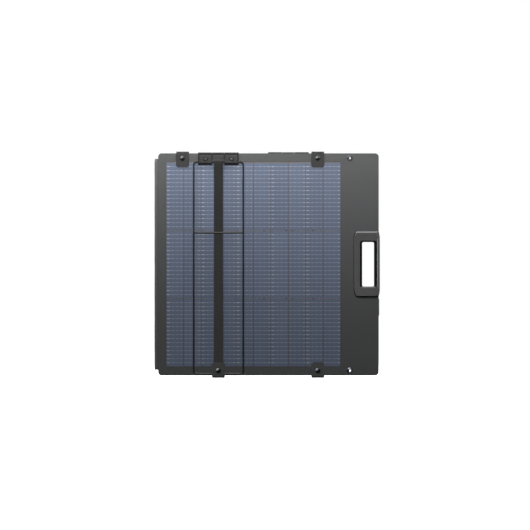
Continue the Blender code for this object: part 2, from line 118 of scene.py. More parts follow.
class Shader:
    """A principled material being put together; its methods pass sockets on as values."""

    def __init__(self, name):
        self.material = bpy.data.materials.new(name)
        self.tree = fresh_tree(self.material)
        output = self.add("OutputMaterial")
        self.bsdf = self.add("BsdfPrincipled")
        put(output, {0: self.bsdf.outputs[0]})
        self.where = self.add("TexCoord").outputs["Object"]

    def add(self, kind, inputs=None, **settings):
        return add_node(self.tree, kind, inputs, **settings)

    def stretch(self, scale):
        return self.add("Mapping", {"Vector": self.where, "Scale": scale}).outputs[0]

    def noise(self, scale, detail=3.0, rough=0.55, vector=None):
        inputs = {
            "Vector": vector or self.where, "Scale": scale, "Detail": detail, "Roughness": rough,
        }
        return self.add("TexNoise", inputs).outputs["Fac"]

    def cells(self, scale):
        inputs = {"Vector": self.where, "Scale": scale}
        return self.add("TexVoronoi", inputs).outputs["Distance"]

    def bands(self, period, axis):
        """Stripes across axis, one every period millimetres."""
        inputs = {"Vector": self.where, "Scale": 0.31416 / (period * MM)}
        return self.add("TexWave", inputs, bands_direction=axis).outputs["Fac"]

    def math(self, how, a, b):
        return self.add("Math", {0: a, 1: b, 2: 0.0}, operation=how).outputs[0]

    def plus(self, a, b):
        return self.math("ADD", a, b)

    def times(self, a, b):
        return self.math("MULTIPLY", a, b)

    def minus(self, a, b):
        return self.math("SUBTRACT", a, b)

    def span(self, value, ends, to=(0.0, 1.0)):
        """value with the range ends mapped onto the range to."""
        inputs = {
            "Value": value, "From Min": ends[0], "From Max": ends[1],
            "To Min": to[0], "To Max": to[1],
        }
        return self.add("MapRange", inputs).outputs[0]

    def mix(self, factor, a, b, how="MIX"):
        # sockets 6 and 7 are the node's colour inputs
        inputs = {"Factor": factor, 6: a, 7: b}
        return self.add("Mix", inputs, data_type="RGBA", blend_type=how).outputs[2]

    def mottle(self, value, tone, shares, tint=WHITE, ends=(0.3, 0.7)):
        """The tone times one share to the other, as value crosses ends."""
        low, high = (grey(tone * share, tint) for share in shares)
        return self.mix(self.span(value, ends), low, high)

    def upward(self, facing=False):
        """Z of the place, or of the surface's normal if facing."""
        node = self.add("SeparateXYZ")
        put(node, {0: self.geometry("Normal") if facing else self.where})
        return node.outputs["Z"]

    def painted_fill_by_height(self, colour, painted_fill):
        """colour times a share that changes with height: painted fill light, lighter towards the
        floor. The tuple is (height in metres, share at z = 0, share at that height)."""
        if painted_fill is None:
            return colour
        top, low, high = painted_fill
        share = self.span(self.upward(), (0.0, top), to=(low, high))
        return self.mix(1.0, colour, share, "MULTIPLY")

    def painted_light_by_facing(self, colour, ends, to):
        """colour times a share that changes as the surface turns to face up: painted light and
        shade by which way the surface faces.
        """
        return self.mix(1.0, colour, self.span(self.upward(facing=True), ends, to), "MULTIPLY")

    def attribute(self, name):
        return self.add("Attribute", attribute_name=name).outputs["Fac"]

    def geometry(self, output):
        return self.add("NewGeometry").outputs[output]

    def edge_wear(self, ends):
        """1 along outward edges, by the mesh's own pointiness."""
        return self.span(self.geometry("Pointiness"), ends)

    def bump(self, height, depth, strength, under=None):
        """depth is in millimetres; under is a normal that this bump lies on."""
        inputs = {"Strength": strength, "Distance": depth * MM, "Height": height}
        if under is not None:
            inputs["Normal"] = under
        return self.add("Bump", inputs).outputs[0]

    def done(
        self, colour, rough, normal, metal=0.0, specular=0.5, coat=0.0, coat_rough=0.1, sheen=0.0,
    ):
        put(self.bsdf, {
            "Base Color": colour, "Roughness": rough, "Metallic": metal,
            "Specular IOR Level": specular, "Coat Weight": coat, "Coat Roughness": coat_rough,
            "Sheen Weight": sheen, "Normal": normal,
        })
        return self.material


# ================================================================ materials
def coated_cloth(name, tone, rough=0.62, specular=0.35, tint=WHITE, painted_fill=None, seam=0.0):
    """Tight cloth under a thin coating: a faint weave, leathery grain and slight clouds.
    seam is how far the mesh's seam attribute darkens it."""
    mat = Shader(name)
    cloud = mat.noise(scale=9.0)
    fine = mat.noise(scale=1400.0, detail=2, rough=0.7)
    grain = mat.cells(scale=1500.0)
    # a plain weave: crossing threads that pass over each other in turn
    pitch = 1.7
    over = mat.times(mat.bands(pitch, "X"), mat.bands(pitch, "Z"))
    under = mat.times(
        mat.minus(1.0, mat.bands(pitch, "X")), mat.minus(1.0, mat.bands(pitch, "Z"))
    )
    weave = mat.plus(over, under)
    colour = mat.mottle(cloud, tone, (0.95, 1.05), tint)
    hollows = mat.span(weave, (0.05, 0.7), to=(0.62, 0.0))
    colour = mat.mix(hollows, colour, grey(tone * 0.5, tint))
    flecks = mat.span(fine, (0.25, 0.75), to=(0.0, 0.35))
    colour = mat.mix(flecks, colour, grey(tone * 1.35, tint))
    wear = mat.times(mat.edge_wear((0.52, 0.60)), 0.10)
    colour = mat.mix(wear, colour, grey(tone * 1.6, tint))
    roughness = mat.span(fine, (0.2, 0.8), to=(rough - 0.07, rough + 0.07))
    height = mat.plus(mat.times(grain, 0.6), mat.times(weave, 0.9))
    height = mat.plus(height, mat.times(fine, 0.6))
    slow = mat.bump(mat.noise(scale=14.0, detail=2), depth=0.25, strength=0.22)
    # painted fill light: lighter towards the floor
    colour = mat.painted_fill_by_height(colour, painted_fill)
    if seam:
        dark = mat.times(mat.attribute("seam"), seam)
        colour = mat.mix(dark, colour, grey(tone * 0.25, tint))
    normal = mat.bump(height, depth=0.14, strength=0.75, under=slow)
    return mat.done(colour, roughness, normal, specular=specular, sheen=0.04)


def moulded_plastic(name, tone, rough=0.48, specular=0.45, tint=WHITE, painted_fill=None):
    """Injection-moulded plastic with a fine grain, slightly polished along its edges."""
    mat = Shader(name)
    grain = mat.noise(scale=2200.0, rough=0.7)
    pits = mat.cells(scale=2600.0)
    cloud = mat.noise(scale=30.0, detail=2)
    colour = mat.mottle(cloud, tone, (0.94, 1.06), tint)
    edge = mat.edge_wear((0.51, 0.58))
    colour = mat.mix(mat.times(edge, 0.35), colour, grey(tone * 1.8, tint))
    roughness = mat.minus(
        mat.span(grain, (0.2, 0.8), to=(rough - 0.05, rough + 0.08)), mat.times(edge, 0.12)
    )
    height = mat.plus(grain, mat.times(pits, 0.5))
    # painted fill light: lighter towards the floor
    colour = mat.painted_fill_by_height(colour, painted_fill)
    normal = mat.bump(height, depth=0.05, strength=0.45)
    return mat.done(colour, roughness, normal, specular=specular)


def webbing(name, tone):
    """Flat woven webbing: crossing ribs under a slanting twill, with loose fibres on top."""
    mat = Shader(name)
    ribs = mat.bands(1.7, "Z")
    warp = mat.bands(1.1, "X")
    twill = mat.bands(2.4, "DIAGONAL")
    fuzz = mat.noise(scale=2600.0, detail=4, rough=0.8)
    height = mat.plus(mat.times(mat.times(ribs, warp), 1.0), mat.times(twill, 0.5))
    height = mat.plus(height, mat.times(fuzz, 0.35))
    colour = mat.mottle(height, tone, (0.55, 1.3), ends=(0.2, 1.4))
    colour = mat.mix(mat.span(fuzz, (0.62, 0.8), to=(0.0, 0.4)), colour, grey(tone * 2.4))
    # painted fill light: lighter towards the floor
    colour = mat.painted_fill_by_height(colour, (0.46, 2.6, 0.84))
    roughness = mat.span(fuzz, (0.2, 0.8), to=(0.75, 0.95))
    normal = mat.bump(height, depth=0.28, strength=0.9)
    return mat.done(colour, roughness, normal, specular=0.2, sheen=0.15)


def painted_wire(name, tone, specular, painted_fill=None, painted_shade_up=None):
    """Powder-coated steel: orange-peel ripple and lighter rubbed patches.
    Painted shade on the upper sides: the tone keeps only the given share where it faces up."""
    mat = Shader(name)
    peel = mat.noise(scale=900.0, detail=2, rough=0.5)
    speck = mat.noise(scale=5200.0, detail=2, rough=0.6)
    cloud = mat.noise(scale=60.0)
    colour = mat.mottle(speck, tone, (0.85, 1.15))
    colour = mat.mix(mat.span(cloud, (0.62, 0.75), to=(0.0, 0.25)), colour, grey(tone * 2.2))
    # painted fill light: lighter towards the floor
    colour = mat.painted_fill_by_height(colour, painted_fill)
    # painted shade where the wire faces up
    if painted_shade_up is not None:
        colour = mat.painted_light_by_facing(colour, (0.2, 0.7), to=(1.0, painted_shade_up))
    roughness = mat.span(cloud, (0.3, 0.7), to=(0.36, 0.5))
    normal = mat.bump(mat.plus(peel, mat.times(speck, 0.3)), depth=0.05, strength=0.5)
    return mat.done(colour, roughness, normal, specular=specular)


def bright_metal(name, tone, rough, tint=(1.0, 0.99, 0.97), under=None):
    """Plated metal: fine turning marks, faint tarnish.
    Painted shade on the lower sides: the tone keeps only the given share where it faces down."""
    mat = Shader(name)
    marks = mat.noise(scale=1200.0, rough=0.6, vector=mat.stretch((1.0, 6.0, 1.0)))
    cloud = mat.noise(scale=240.0)
    colour = mat.mottle(cloud, tone, (1.0, 0.72), tint, ends=(0.35, 0.75))
    # painted shade where the metal faces down
    if under is not None:
        colour = mat.painted_light_by_facing(colour, (0.22, 0.58), to=(under, 1.0))
    roughness = mat.span(marks, (0.25, 0.75), to=(rough - 0.06, rough + 0.12))
    return mat.done(colour, roughness, mat.bump(marks, depth=0.01, strength=0.4), metal=1.0)


def lacquer(name, tone):
    """Glossy black lacquer over a pressed metal cap, with hairline scuffs and a painted highlight.
    """
    mat = Shader(name)
    scuff = mat.noise(scale=1500.0, detail=4, rough=0.7, vector=mat.stretch((1.0, 1.0, 5.0)))
    cloud = mat.noise(scale=180.0, detail=2)
    colour = mat.mottle(cloud, tone, (0.8, 1.3))
    # a painted highlight: a soft bluish reflection painted where the cap faces -Y, up and towards
    # -X, brighter lower down
    highlight_way = Vector((-0.36, -0.85, 0.39)).normalized()
    inputs = {0: mat.geometry("Normal"), 1: highlight_way}
    facing = mat.add("VectorMath", inputs, operation="DOT_PRODUCT").outputs["Value"]
    glow = mat.times(
        mat.span(facing, (0.86, 0.975)), mat.span(scuff, (0.2, 0.8), to=(0.8, 1.0))
    )
    sheen = mat.painted_fill_by_height(grey(0.105, (0.90, 1.0, 1.16)), (0.6, 3.6, 1.0))
    colour = mat.mix(glow, colour, sheen)
    roughness = mat.span(scuff, (0.3, 0.8), to=(0.24, 0.38))
    normal = mat.bump(mat.noise(scale=420.0, detail=1), depth=0.01, strength=0.3)
    return mat.done(colour, roughness, normal, specular=0.25, coat=0.15, coat_rough=0.2)


def rubber(name, tone):
    mat = Shader(name)
    fine = mat.noise(scale=1800.0, rough=0.7)
    cloud = mat.noise(scale=50.0, detail=2)
    colour = mat.mottle(cloud, tone, (0.85, 1.2))
    roughness = mat.span(fine, (0.2, 0.8), to=(0.55, 0.72))
    return mat.done(colour, roughness, mat.bump(fine, depth=0.04, strength=0.4), specular=0.4)


def wafer(name, tone, tint):
    """A solar cell under a dimpled clear film: fine upright fingers, cells a little unlike."""
    mat = Shader(name)
    fingers = mat.bands(1.35, "X")
    each = mat.attribute("tone")
    cloud = mat.noise(scale=14.0)
    grit = mat.noise(scale=1300.0, detail=2, rough=0.6)
    colour = mat.mix(each, grey(tone * 0.90, tint), grey(tone * 1.10, tint))
    warmer = (tint[0] * 1.04, tint[1], tint[2] * 0.95)
    clouding = mat.span(cloud, (0.3, 0.7), to=(0.0, 0.25))
    colour = mat.mix(clouding, colour, grey(tone * 1.2, warmer))
    lines = mat.span(fingers, (0.90, 1.0), to=(0.0, 0.5))
    colour = mat.mix(lines, colour, grey(tone * 1.7, (0.95, 1.0, 1.08)))
    flecks = mat.span(grit, (0.6, 0.8), to=(0.0, 0.15))
    colour = mat.mix(flecks, colour, grey(tone * 1.5, tint))
    # painted fill light: lighter towards the floor
    colour = mat.painted_fill_by_height(colour, (0.19, 1.13, 1.0))
    dimples = mat.bump(mat.cells(scale=900.0), depth=0.03, strength=0.35)
    roughness = mat.span(grit, (0.2, 0.8), to=(0.38, 0.5))
    normal = mat.bump(mat.times(fingers, 1.0), depth=0.01, strength=0.4, under=dimples)
    return mat.done(colour, roughness, normal, specular=0.4, coat=0.25, coat_rough=0.3)


def between_cells(name, tone, tint):
    """The laminate's filler seen between the cells: a soft mottled film."""
    mat = Shader(name)
    cloud = mat.noise(scale=120.0)
    grit = mat.noise(scale=1500.0, detail=2)
    colour = mat.mottle(cloud, tone, (0.85, 1.15), tint)
    flecks = mat.span(grit, (0.55, 0.8), to=(0.0, 0.2))
    colour = mat.mix(flecks, colour, grey(tone * 1.6, tint))
    normal = mat.bump(mat.cells(scale=900.0), depth=0.03, strength=0.35)
    return mat.done(colour, 0.45, normal, specular=0.4, coat=0.2, coat_rough=0.3)


def ribbon_metal(name, tone, tint=WHITE):
    """Tinned ribbon or solder, dulled by the clear film over it."""
    mat = Shader(name)
    fine = mat.noise(scale=2500.0, rough=0.7)
    cloud = mat.noise(scale=90.0)
    colour = mat.mottle(cloud, tone, (0.85, 1.15), tint)
    roughness = mat.span(fine, (0.2, 0.8), to=(0.42 - 0.08, 0.42 + 0.1))
    return mat.done(colour, roughness, mat.bump(fine, depth=0.02, strength=0.4))


COOL = (0.93, 1.0, 1.09)
# the cover cloth gets painted fill light, a little lighter towards the floor
COVER = coated_cloth("cover_cloth", tone=0.0560, tint=(0.982, 1.0, 1.028), painted_fill=(0.14, 1.08, 1.0))
STRIP = coated_cloth("fold_strip_cloth", tone=0.070, rough=0.5, specular=0.45, seam=0.7)
# the strap cloth gets painted fill light, much lighter towards the floor
STRAP = coated_cloth("strap_cloth", tone=0.0200, rough=0.55, specular=0.3, painted_fill=(0.6, 3.2, 0.84))
TRIM = coated_cloth("window_trim", tone=0.044, rough=0.6, tint=(1.06, 1.0, 0.94))
EDGE = coated_cloth("edge_seam", tone=0.026, rough=0.7, specular=0.25)
# the handle plastic gets painted fill light, lighter towards the floor
PLASTIC = moulded_plastic("handle_plastic", tone=0.050, painted_fill=(0.39, 1.95, 0.98))
# smoother plastic with a much lighter colour: polish, and a painted highlight
POLISHED_HIGHLIGHT = moulded_plastic(
    "handle_polished_edge_painted_highlight", tone=0.125, rough=0.3, specular=0.6, tint=COOL
)
# a dark copy of the strap cloth: painted shade on the lower straps' undersides
STRAP_PAINTED_SHADE = coated_cloth("strap_cloth_painted_shade", tone=0.006, rough=0.6, specular=0.2)
# near-black plastic for painted shade in grooves, feet, flanges and shaded walls
SHADE_PLASTIC = moulded_plastic("painted_shade_plastic", tone=0.0035, rough=0.7, specular=0.08)
LEAF_PLASTIC = moulded_plastic("hinge_plastic", tone=0.0215, specular=0.35)
RIVET_PLASTIC = moulded_plastic("rivet_head", tone=0.035, specular=0.45)
# a light plastic: a painted highlight on the crest beside the handle's opening
CREST_HIGHLIGHT = moulded_plastic("handle_crest_painted_highlight", tone=0.23, rough=0.3, specular=0.6, tint=COOL)
BOX_PLASTIC = moulded_plastic("junction_plastic", tone=0.030, rough=0.55)
WEBBING = webbing("woven_webbing", tone=0.0180)
# the side wires get painted shade on their upper sides
WIRE = painted_wire("powder_coat", tone=0.0195, specular=0.08, painted_shade_up=0.15)
# a lighter, glossier copy of the coat: a painted highlight on the bars' upper sides, with painted
# fill light lower down
WIRE_LIT = painted_wire("powder_coat_bars_painted_highlight", tone=0.030, specular=0.5, painted_fill=(0.39, 2.1, 1.0))
# the eyelets get painted shade on their lower sides
METAL = bright_metal("eyelet_metal", tone=0.36, rough=0.32, tint=(0.90, 1.0, 1.14), under=0.08)
STUD = bright_metal("stud_metal", tone=0.5, rough=0.3)
LACQUER = lacquer("snap_lacquer", tone=0.008)
RUBBER = rubber("cable_rubber", tone=0.016)
WAFER = wafer("solar_cell", tone=0.096, tint=(0.83, 1.04, 1.58))
FILLER = between_cells("cell_gap", tone=0.062, tint=(1.16, 1.0, 0.90))
BUSBAR = ribbon_metal("busbar", tone=0.24, tint=(0.84, 1.0, 1.26))
PAD = ribbon_metal("solder_pad", tone=0.33, tint=(0.93, 1.0, 1.10))
END_PAD = ribbon_metal("end_pad", tone=0.35, tint=(0.97, 1.0, 1.04))
ROW_LINE = ribbon_metal("row_line", tone=0.26, tint=(1.12, 1.0, 0.86))
SPOT = ribbon_metal("tape_spot", tone=0.03)
THREAD = coated_cloth("thread", tone=0.028, rough=0.8)


# ================================================================ mesh helpers
def make(name, shape, material, body=None, replaces=(), smooth=35):
    """Turns the bmesh shape into an object. smooth is the sharp-edge angle in degrees."""
    bmesh.ops.recalc_face_normals(shape, faces=shape.faces)
    mesh = bpy.data.meshes.new(name)
    shape.to_mesh(mesh)
    shape.free()
    obj = bpy.data.objects.new(name, mesh)
    mesh.materials.append(material)
    mesh.shade_smooth()
    mesh.set_sharp_from_angle(angle=math.radians(smooth))
    bpy.context.scene.collection.objects.link(obj)
    if body:
        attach(obj, body)
        MADE.append(obj)
    if replaces:
        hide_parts(*replaces)
    return obj


def standing(face, way):
    """Turns a distance out from the plane y = face into y; way is the sign of y outwards."""
    return lambda distance: face + way * distance


def rounded(x0, x1, z0, z1, radius, steps=8):
    corners = (
        (x1 - radius, z1 - radius, 0), (x0 + radius, z1 - radius, 90),
        (x0 + radius, z0 + radius, 180), (x1 - radius, z0 + radius, 270),
    )
    loop = []
    for x, z, start in corners:
        for i in range(steps + 1):
            angle = math.radians(start + 90 * i / steps)
            loop.append((x + radius * math.cos(angle), z + radius * math.sin(angle)))
    return loop


def circle(x, z, radius, steps=32):
    angles = [2 * math.pi * i / steps for i in range(steps)]
    return [(x + radius * math.cos(a), z + radius * math.sin(a)) for a in angles]


def offset(loop, by):
    """A closed counter-clockwise loop moved outwards by a distance."""
    moved = []
    for i, (x, z) in enumerate(loop):
        last_x, last_z = loop[i - 1]
        next_x, next_z = loop[(i + 1) % len(loop)]
        run_in = Vector((x - last_x, z - last_z))
        run_out = Vector((next_x - x, next_z - z))
        run_in = run_in.normalized() if run_in.length > 1e-6 else run_out.normalized()
        run_out = run_out.normalized() if run_out.length > 1e-6 else run_in
        normal = Vector((run_in.y, -run_in.x))
        middle = normal + Vector((run_out.y, -run_out.x))
        middle = middle.normalized() if middle.length > 1e-6 else normal
        # the mitre is held back at sharp corners
        reach = by / max(middle.dot(normal), 0.4)
        moved.append((x + middle.x * reach, z + middle.y * reach))
    return moved


def filled(outline, holes, depth, edge, segments=2):
    """A bmesh of a filled outline with round edges, centred in its third direction.
    The counter-clockwise loops are the finished size: they are drawn in by edge, and the
    rounding brings them back."""
    data = bpy.data.curves.new("filled", "CURVE")
    data.dimensions, data.fill_mode = "2D", "BOTH"
    data.bevel_depth, data.bevel_resolution = edge * MM, segments
    data.extrude = (depth / 2 - edge) * MM
    for loop in [offset(outline, -edge)] + [offset(hole, edge)[::-1] for hole in holes]:
        spline = data.splines.new("POLY")
        spline.points.add(len(loop) - 1)
        for point, (a, b) in zip(spline.points, loop):
            point.co = (a * MM, b * MM, 0, 1)
        spline.use_cyclic_u = True
    obj = bpy.data.objects.new("filled", data)
    bpy.context.scene.collection.objects.link(obj)
    graph = bpy.context.evaluated_depsgraph_get()
    mesh = bpy.data.meshes.new_from_object(obj.evaluated_get(graph))
    bpy.data.objects.remove(obj)
    bpy.data.curves.remove(data)
    shape = bmesh.new()
    shape.from_mesh(mesh)
    bpy.data.meshes.remove(mesh)
    bmesh.ops.remove_doubles(shape, verts=shape.verts, dist=1e-7)
    return shape


def sheet(name, outline, holes, y0, y1, edge, material, body, replaces=(), segments=2):
    """A cover layer: an (x, z) outline filled from y0 to y1."""
    shape = filled(outline, holes, abs(y1 - y0), edge, segments)
    middle = (y0 + y1) / 2 * MM
    for v in shape.verts:
        v.co = Vector((v.co.x, middle - v.co.z, v.co.y))
    return make(name, shape, material, body, replaces)


def profiled(name, profile, x0, x1, outward, edge, material, body, holes=(), replaces=()):
    """A moulding: a (distance out, z) profile drawn along X from x0 to x1."""
    shape = filled(profile, holes, abs(x1 - x0), edge)
    middle = (x0 + x1) / 2 * MM
    for v in shape.verts:
        v.co = Vector((middle + v.co.z, outward(v.co.x / MM) * MM, v.co.y))
    make(name, shape, material, body, replaces).visible_shadow = False


def skin(shape, rows, ring):
    """Joins rows of vertices with faces; a row of one vertex is a pole."""
    steps = max(len(row) for row in rows)
    for one, two in list(zip(rows, rows[1:])) + ([(rows[-1], rows[0])] if ring else []):
        for k in range(steps):
            a, b = one[k % len(one)], one[(k + 1) % len(one)]
            c, d = two[(k + 1) % len(two)], two[k % len(two)]
            shape.faces.new(list(dict.fromkeys((a, b, c, d))))


def loft(shape, levels, ring=False):
    """Skins closed loops of (x, y, z). ring joins the last to the first instead of capping."""
    rows = [[shape.verts.new([c * MM for c in point]) for point in level] for level in levels]
    skin(shape, rows, ring)
    if not ring:
        shape.faces.new(rows[0])
        shape.faces.new(list(reversed(rows[-1])))
    return shape


def stacked(stations, outward):
    """Loft levels from (loop of (x, z), distance out) stations."""
    return [[(x, outward(distance), z) for x, z in loop] for loop, distance in stations]


def turned(shape, profile, x, z, steps, outward, ring=False):
    """A (radius, distance out) profile turned about the Y direction."""
    rows = []
    for radius, distance in profile:
        y = outward(distance) * MM
        if radius < 1e-6:
            rows.append([shape.verts.new((x * MM, y, z * MM))])
        else:
            loop = circle(x, z, radius, steps)
            rows.append([shape.verts.new((a * MM, y, b * MM)) for a, b in loop])
    skin(shape, rows, ring)
    return shape


def tube(points, radius, sides=18, closed=False):
    """Levels for a round bar along points in an XZ plane. radius may be a list."""
    levels, count = [], len(points)
    for i, point in enumerate(points):
        point = Vector(point)
        before = Vector(points[(i - 1) % count]) if closed or i else point
        after = Vector(points[(i + 1) % count]) if closed or i < count - 1 else point
        run = (after - before).normalized()
        side = run.cross(Vector((0, 1, 0))).normalized()
        up = side.cross(run).normalized()
        r = radius[i] if hasattr(radius, "__len__") else radius
        angles = [2 * math.pi * (k + 0.5) / sides for k in range(sides)]
        levels.append([point + side * r * math.cos(a) + up * r * math.sin(a) for a in angles])
    return levels


def eased(points, radius, steps):
    """A polyline with its corners turned into short curves."""
    line = [points[0]]
    for a, b, c in zip(points, points[1:], points[2:]):
        a, b, c = Vector(a), Vector(b), Vector(c)
        cut = min(radius, (a - b).length * 0.45, (c - b).length * 0.45)
        start, end = b + (a - b).normalized() * cut, b + (c - b).normalized() * cut
        for i in range(steps + 1):
            t = i / steps
            line.append(tuple(start * (1 - t) ** 2 + b * 2 * t * (1 - t) + end * t * t))
    line.append(points[-1])
    return line


def dense(points, longest):
    """The same line with no step longer than longest."""
    line = [points[0]]
    for a, b in zip(points, points[1:]):
        a, b = Vector(a), Vector(b)
        count = max(1, math.ceil((b - a).length / longest))
        line += [tuple(a + (b - a) * i / count) for i in range(1, count + 1)]
    return line


def band(path, lows, highs, across, thick):
    """A strap along path, (y, z) points, its width along X from lows[i] to highs[i].
    across is (inset from the edge, share of the thickness), from the edge to the middle."""
    levels = []
    for i, (y, z) in enumerate(path):
        run = Vector(path[min(i + 1, len(path) - 1)]) - Vector(path[max(i - 1, 0)])
        run = run.normalized()
        normal_y, normal_z = -run.y, run.x
        low, high = lows[i], highs[i]
        half = (high - low) / 2
        row = [(low + min(inset, half * 0.98), share) for inset, share in across]
        row += [(high - min(inset, half * 0.98), share) for inset, share in reversed(across)]
        level = []
        for side, part in ((1, row), (-1, row[::-1])):
            for x, share in part:
                out = side * thick / 2 * share
                level.append((x, y + normal_y * out, z + normal_z * out))
        levels.append(level)
    return loft(bmesh.new(), levels)


def stitch_line(shape, start, end, y):
    """Short stitches between two (x, z) points, standing a little out of y towards +Y."""
    length, pitch, radius, sides = 2.4, 3.3, 0.32, 6
    start, end = Vector(start), Vector(end)
    run = end - start
    count = max(1, int(run.length / pitch))
    way = run.normalized()
    side = Vector((-way.y, way.x))
    for i in range(count):
        middle = start + run * (i + 0.5) / count
        levels = []
        for t in (-1.0, -0.6, 0.0, 0.6, 1.0):
            width = radius * math.sqrt(max(0.05, 1 - t * t))
            centre = middle + way * t * length / 2
            lift = y + 0.30 * (1 - t * t)
            level = []
            for k in range(sides):
                angle = 2 * math.pi * k / sides
                place = centre + side * width * math.cos(angle)
                level.append((place.x, lift + width * 0.7 * math.sin(angle), place.y))
            levels.append(level)
        loft(shape, levels)


# ================================================================ shared dimensions
LEFT, RIGHT_WIDE, RIGHT_NARROW, HEIGHT, CORNER = -296.3, 296.3, 217.5, 598.5, 10.8
WINDOW = (-276.0, 193.9, 24.0, 575.4)  # x0, x1, z0, z1, like the handle opening
OPENING = (252.1, 285.0, 239.2, 359.6)
EYELETS = ((218.5, 585.1, "upper"), (218.5, 13.5, "lower"))
STAND_X = {1: -135.85, 4: 53.0}
RIVET_SPREAD = 35.1  # from the kickstand's centre to a rivet
GAP = 0.3
TURN = 1.6  # the cloth turned over the left edge, outside the fold strip's seam
SECTIONS, OUTERMOST = (1, 2, 3, 4), (1, 4)

# y of each section's rear and front faces
REAR, FRONT = {}, {}
for number in SECTIONS:
    low, high = node_box(f"section_{number}_rear_cover")
    front_low, front_high = node_box(f"section_{number}_front_cover")
    REAR[number], FRONT[number] = (low[1], front_high[1]) if number % 2 else (high[1], front_low[1])


def inward(number):
    """The sign of y from a section's rear face to its front face."""
    return 1 if REAR[number] < FRONT[number] else -1


def off_rear(number):
    return standing(REAR[number], -inward(number))


def off_front(number):
    return standing(FRONT[number], inward(number))


# ================================================================ section covers
def make_covers(number):
    wide, step, body = number in OUTERMOST, inward(number), f"section_{number}"
    right = RIGHT_WIDE if wide else RIGHT_NARROW
    cloth_right = right + (0.5 if wide else 0.0)
    outline = rounded(LEFT - TURN, cloth_right, -0.3, HEIGHT + 0.2, CORNER - 0.9, 12)
    x0, x1, z0, z1 = WINDOW
    holes = []
    if wide:
        a, b, c, d = OPENING
        holes.append(rounded(a - 0.6, b + 0.6, c - 0.6, d + 0.6, 4.0, 6))
        holes += [circle(x, z, 5.3, 28) for x, z, _ in EYELETS]
        holes += [circle(STAND_X[number] + s * RIVET_SPREAD, 583.7, 2.4, 16) for s in (-1, 1)]
    holes.append(rounded(*WINDOW, 2.0, 4))
    for side, face, way in (("rear", REAR[number], step), ("front", FRONT[number], -step)):
        cloth = sheet(
            f"{body}_{side}_cover_cloth", outline, holes, face, face + way * 1.5, 0.5, COVER,
            body, [f"{body}_{side}_cover"], segments=3,
        )
        # the cloth is welded down to the clear film in a narrow line round the window
        weld = sheet(
            f"{body}_{side}_window_weld",
            rounded(x0 - 1.0, x1 + 1.0, z0 - 1.0, z1 + 1.0, 2.8, 6),
            [rounded(x0 + 0.05, x1 - 0.05, z0 + 0.05, z1 - 0.05, 1.9, 4)],
            face - way * 0.14, face + way * 1.62, 0.12, TRIM, body, segments=1,
        )
        # the step down to the film is small, and softly lit from all round
        cloth.visible_shadow = weld.visible_shadow = False
    # the turned-in cloth between the two covers
    inset, depth = 0.55, 7
    sheet(
        f"{body}_edge_seam",
        rounded(LEFT + inset, right - inset, inset, HEIGHT - inset, CORNER - inset, 12),
        [rounded(LEFT + depth, right - depth, depth, HEIGHT - depth, 6.0, 12)],
        REAR[number] + step * 1.2, FRONT[number] - step * 1.2, 0.4, EDGE, body,
    )
    laminate = NODES[f"{body}_cell_laminate"]
    laminate.data.materials.clear()
    laminate.data.materials.append(FILLER)


for number in SECTIONS:
    make_covers(number)

# ================================================================ solar cells
ROW_PITCH = 183.35
ROW_LINES = (390.15, 390.15 - ROW_PITCH)  # z of the lines between the three rows
TOP_LINE = ROW_LINES[0] + ROW_PITCH
COLUMNS = 10
COL_PITCH = (WINDOW[1] - WINDOW[0]) / COLUMNS
BUSBARS = 16
BUS_PITCH = ROW_PITCH / (BUSBARS + 1)
CELL_MATERIALS = (WAFER, BUSBAR, PAD, END_PAD, ROW_LINE, SPOT)
# half width along Z, underside, top, inset of the sloping edge, material slot
RIBBON_PART = (0.45, 0.14, 0.30, 0.12, 1)
PAD_PART = (0.72, 0.16, 0.36, 0.2, 2)
LEFT_PAD_PART = (0.85, 0.16, 0.38, 0.25, 3)
RIGHT_PAD_PART = (0.75, 0.16, 0.38, 0.25, 2)
LAST_PAD_PART = (0.75, 0.16, 0.38, 0.25, 3)
LINE_PART = (0.40, 0.05, 0.30, 0.12, 4)
SPOT_PART = (1.3, 0.05, 0.42, 0.3, 5)


def slab(shape, x0, x1, z, part):
    """A thin plate with sloping edges; its third direction is height over the laminate."""
    half, low, high, inset, slot = part
    rows = []
    for cut, height in ((0.0, low), (inset, high)):
        left, right, bottom, top = x0 + cut, x1 - cut, z - half + cut, z + half - cut
        corners = ((left, bottom), (right, bottom), (right, top), (left, top))
        rows.append([shape.verts.new((a * MM, b * MM, height * MM)) for a, b in corners])
    base, upper = rows
    shape.faces.new(upper).material_index = slot
    for k in range(4):
        n = (k + 1) % 4
        shape.faces.new((base[k], base[n], upper[n], upper[k])).material_index = slot


def cell(shape, tone, x0, x1, z0, z1):
    """One wafer with its corners cut off, and its own share of the tone."""
    value = rng.uniform(0.1, 0.9)
    cut = 1.6
    outline = [
        (x0 + cut, z0), (x1 - cut, z0), (x1, z0 + cut), (x1, z1 - cut),
        (x1 - cut, z1), (x0 + cut, z1), (x0, z1 - cut), (x0, z0 + cut),
    ]
    low = [shape.verts.new((x * MM, z * MM, 0.0)) for x, z in outline]
    high = [shape.verts.new((x * MM, z * MM, 0.16 * MM)) for x, z in offset(outline, -0.08)]
    for v in low + high:
        v[tone] = value
    shape.faces.new(high)
    for k in range(8):
        n = (k + 1) % 8
        shape.faces.new((low[k], low[n], high[n], high[k]))


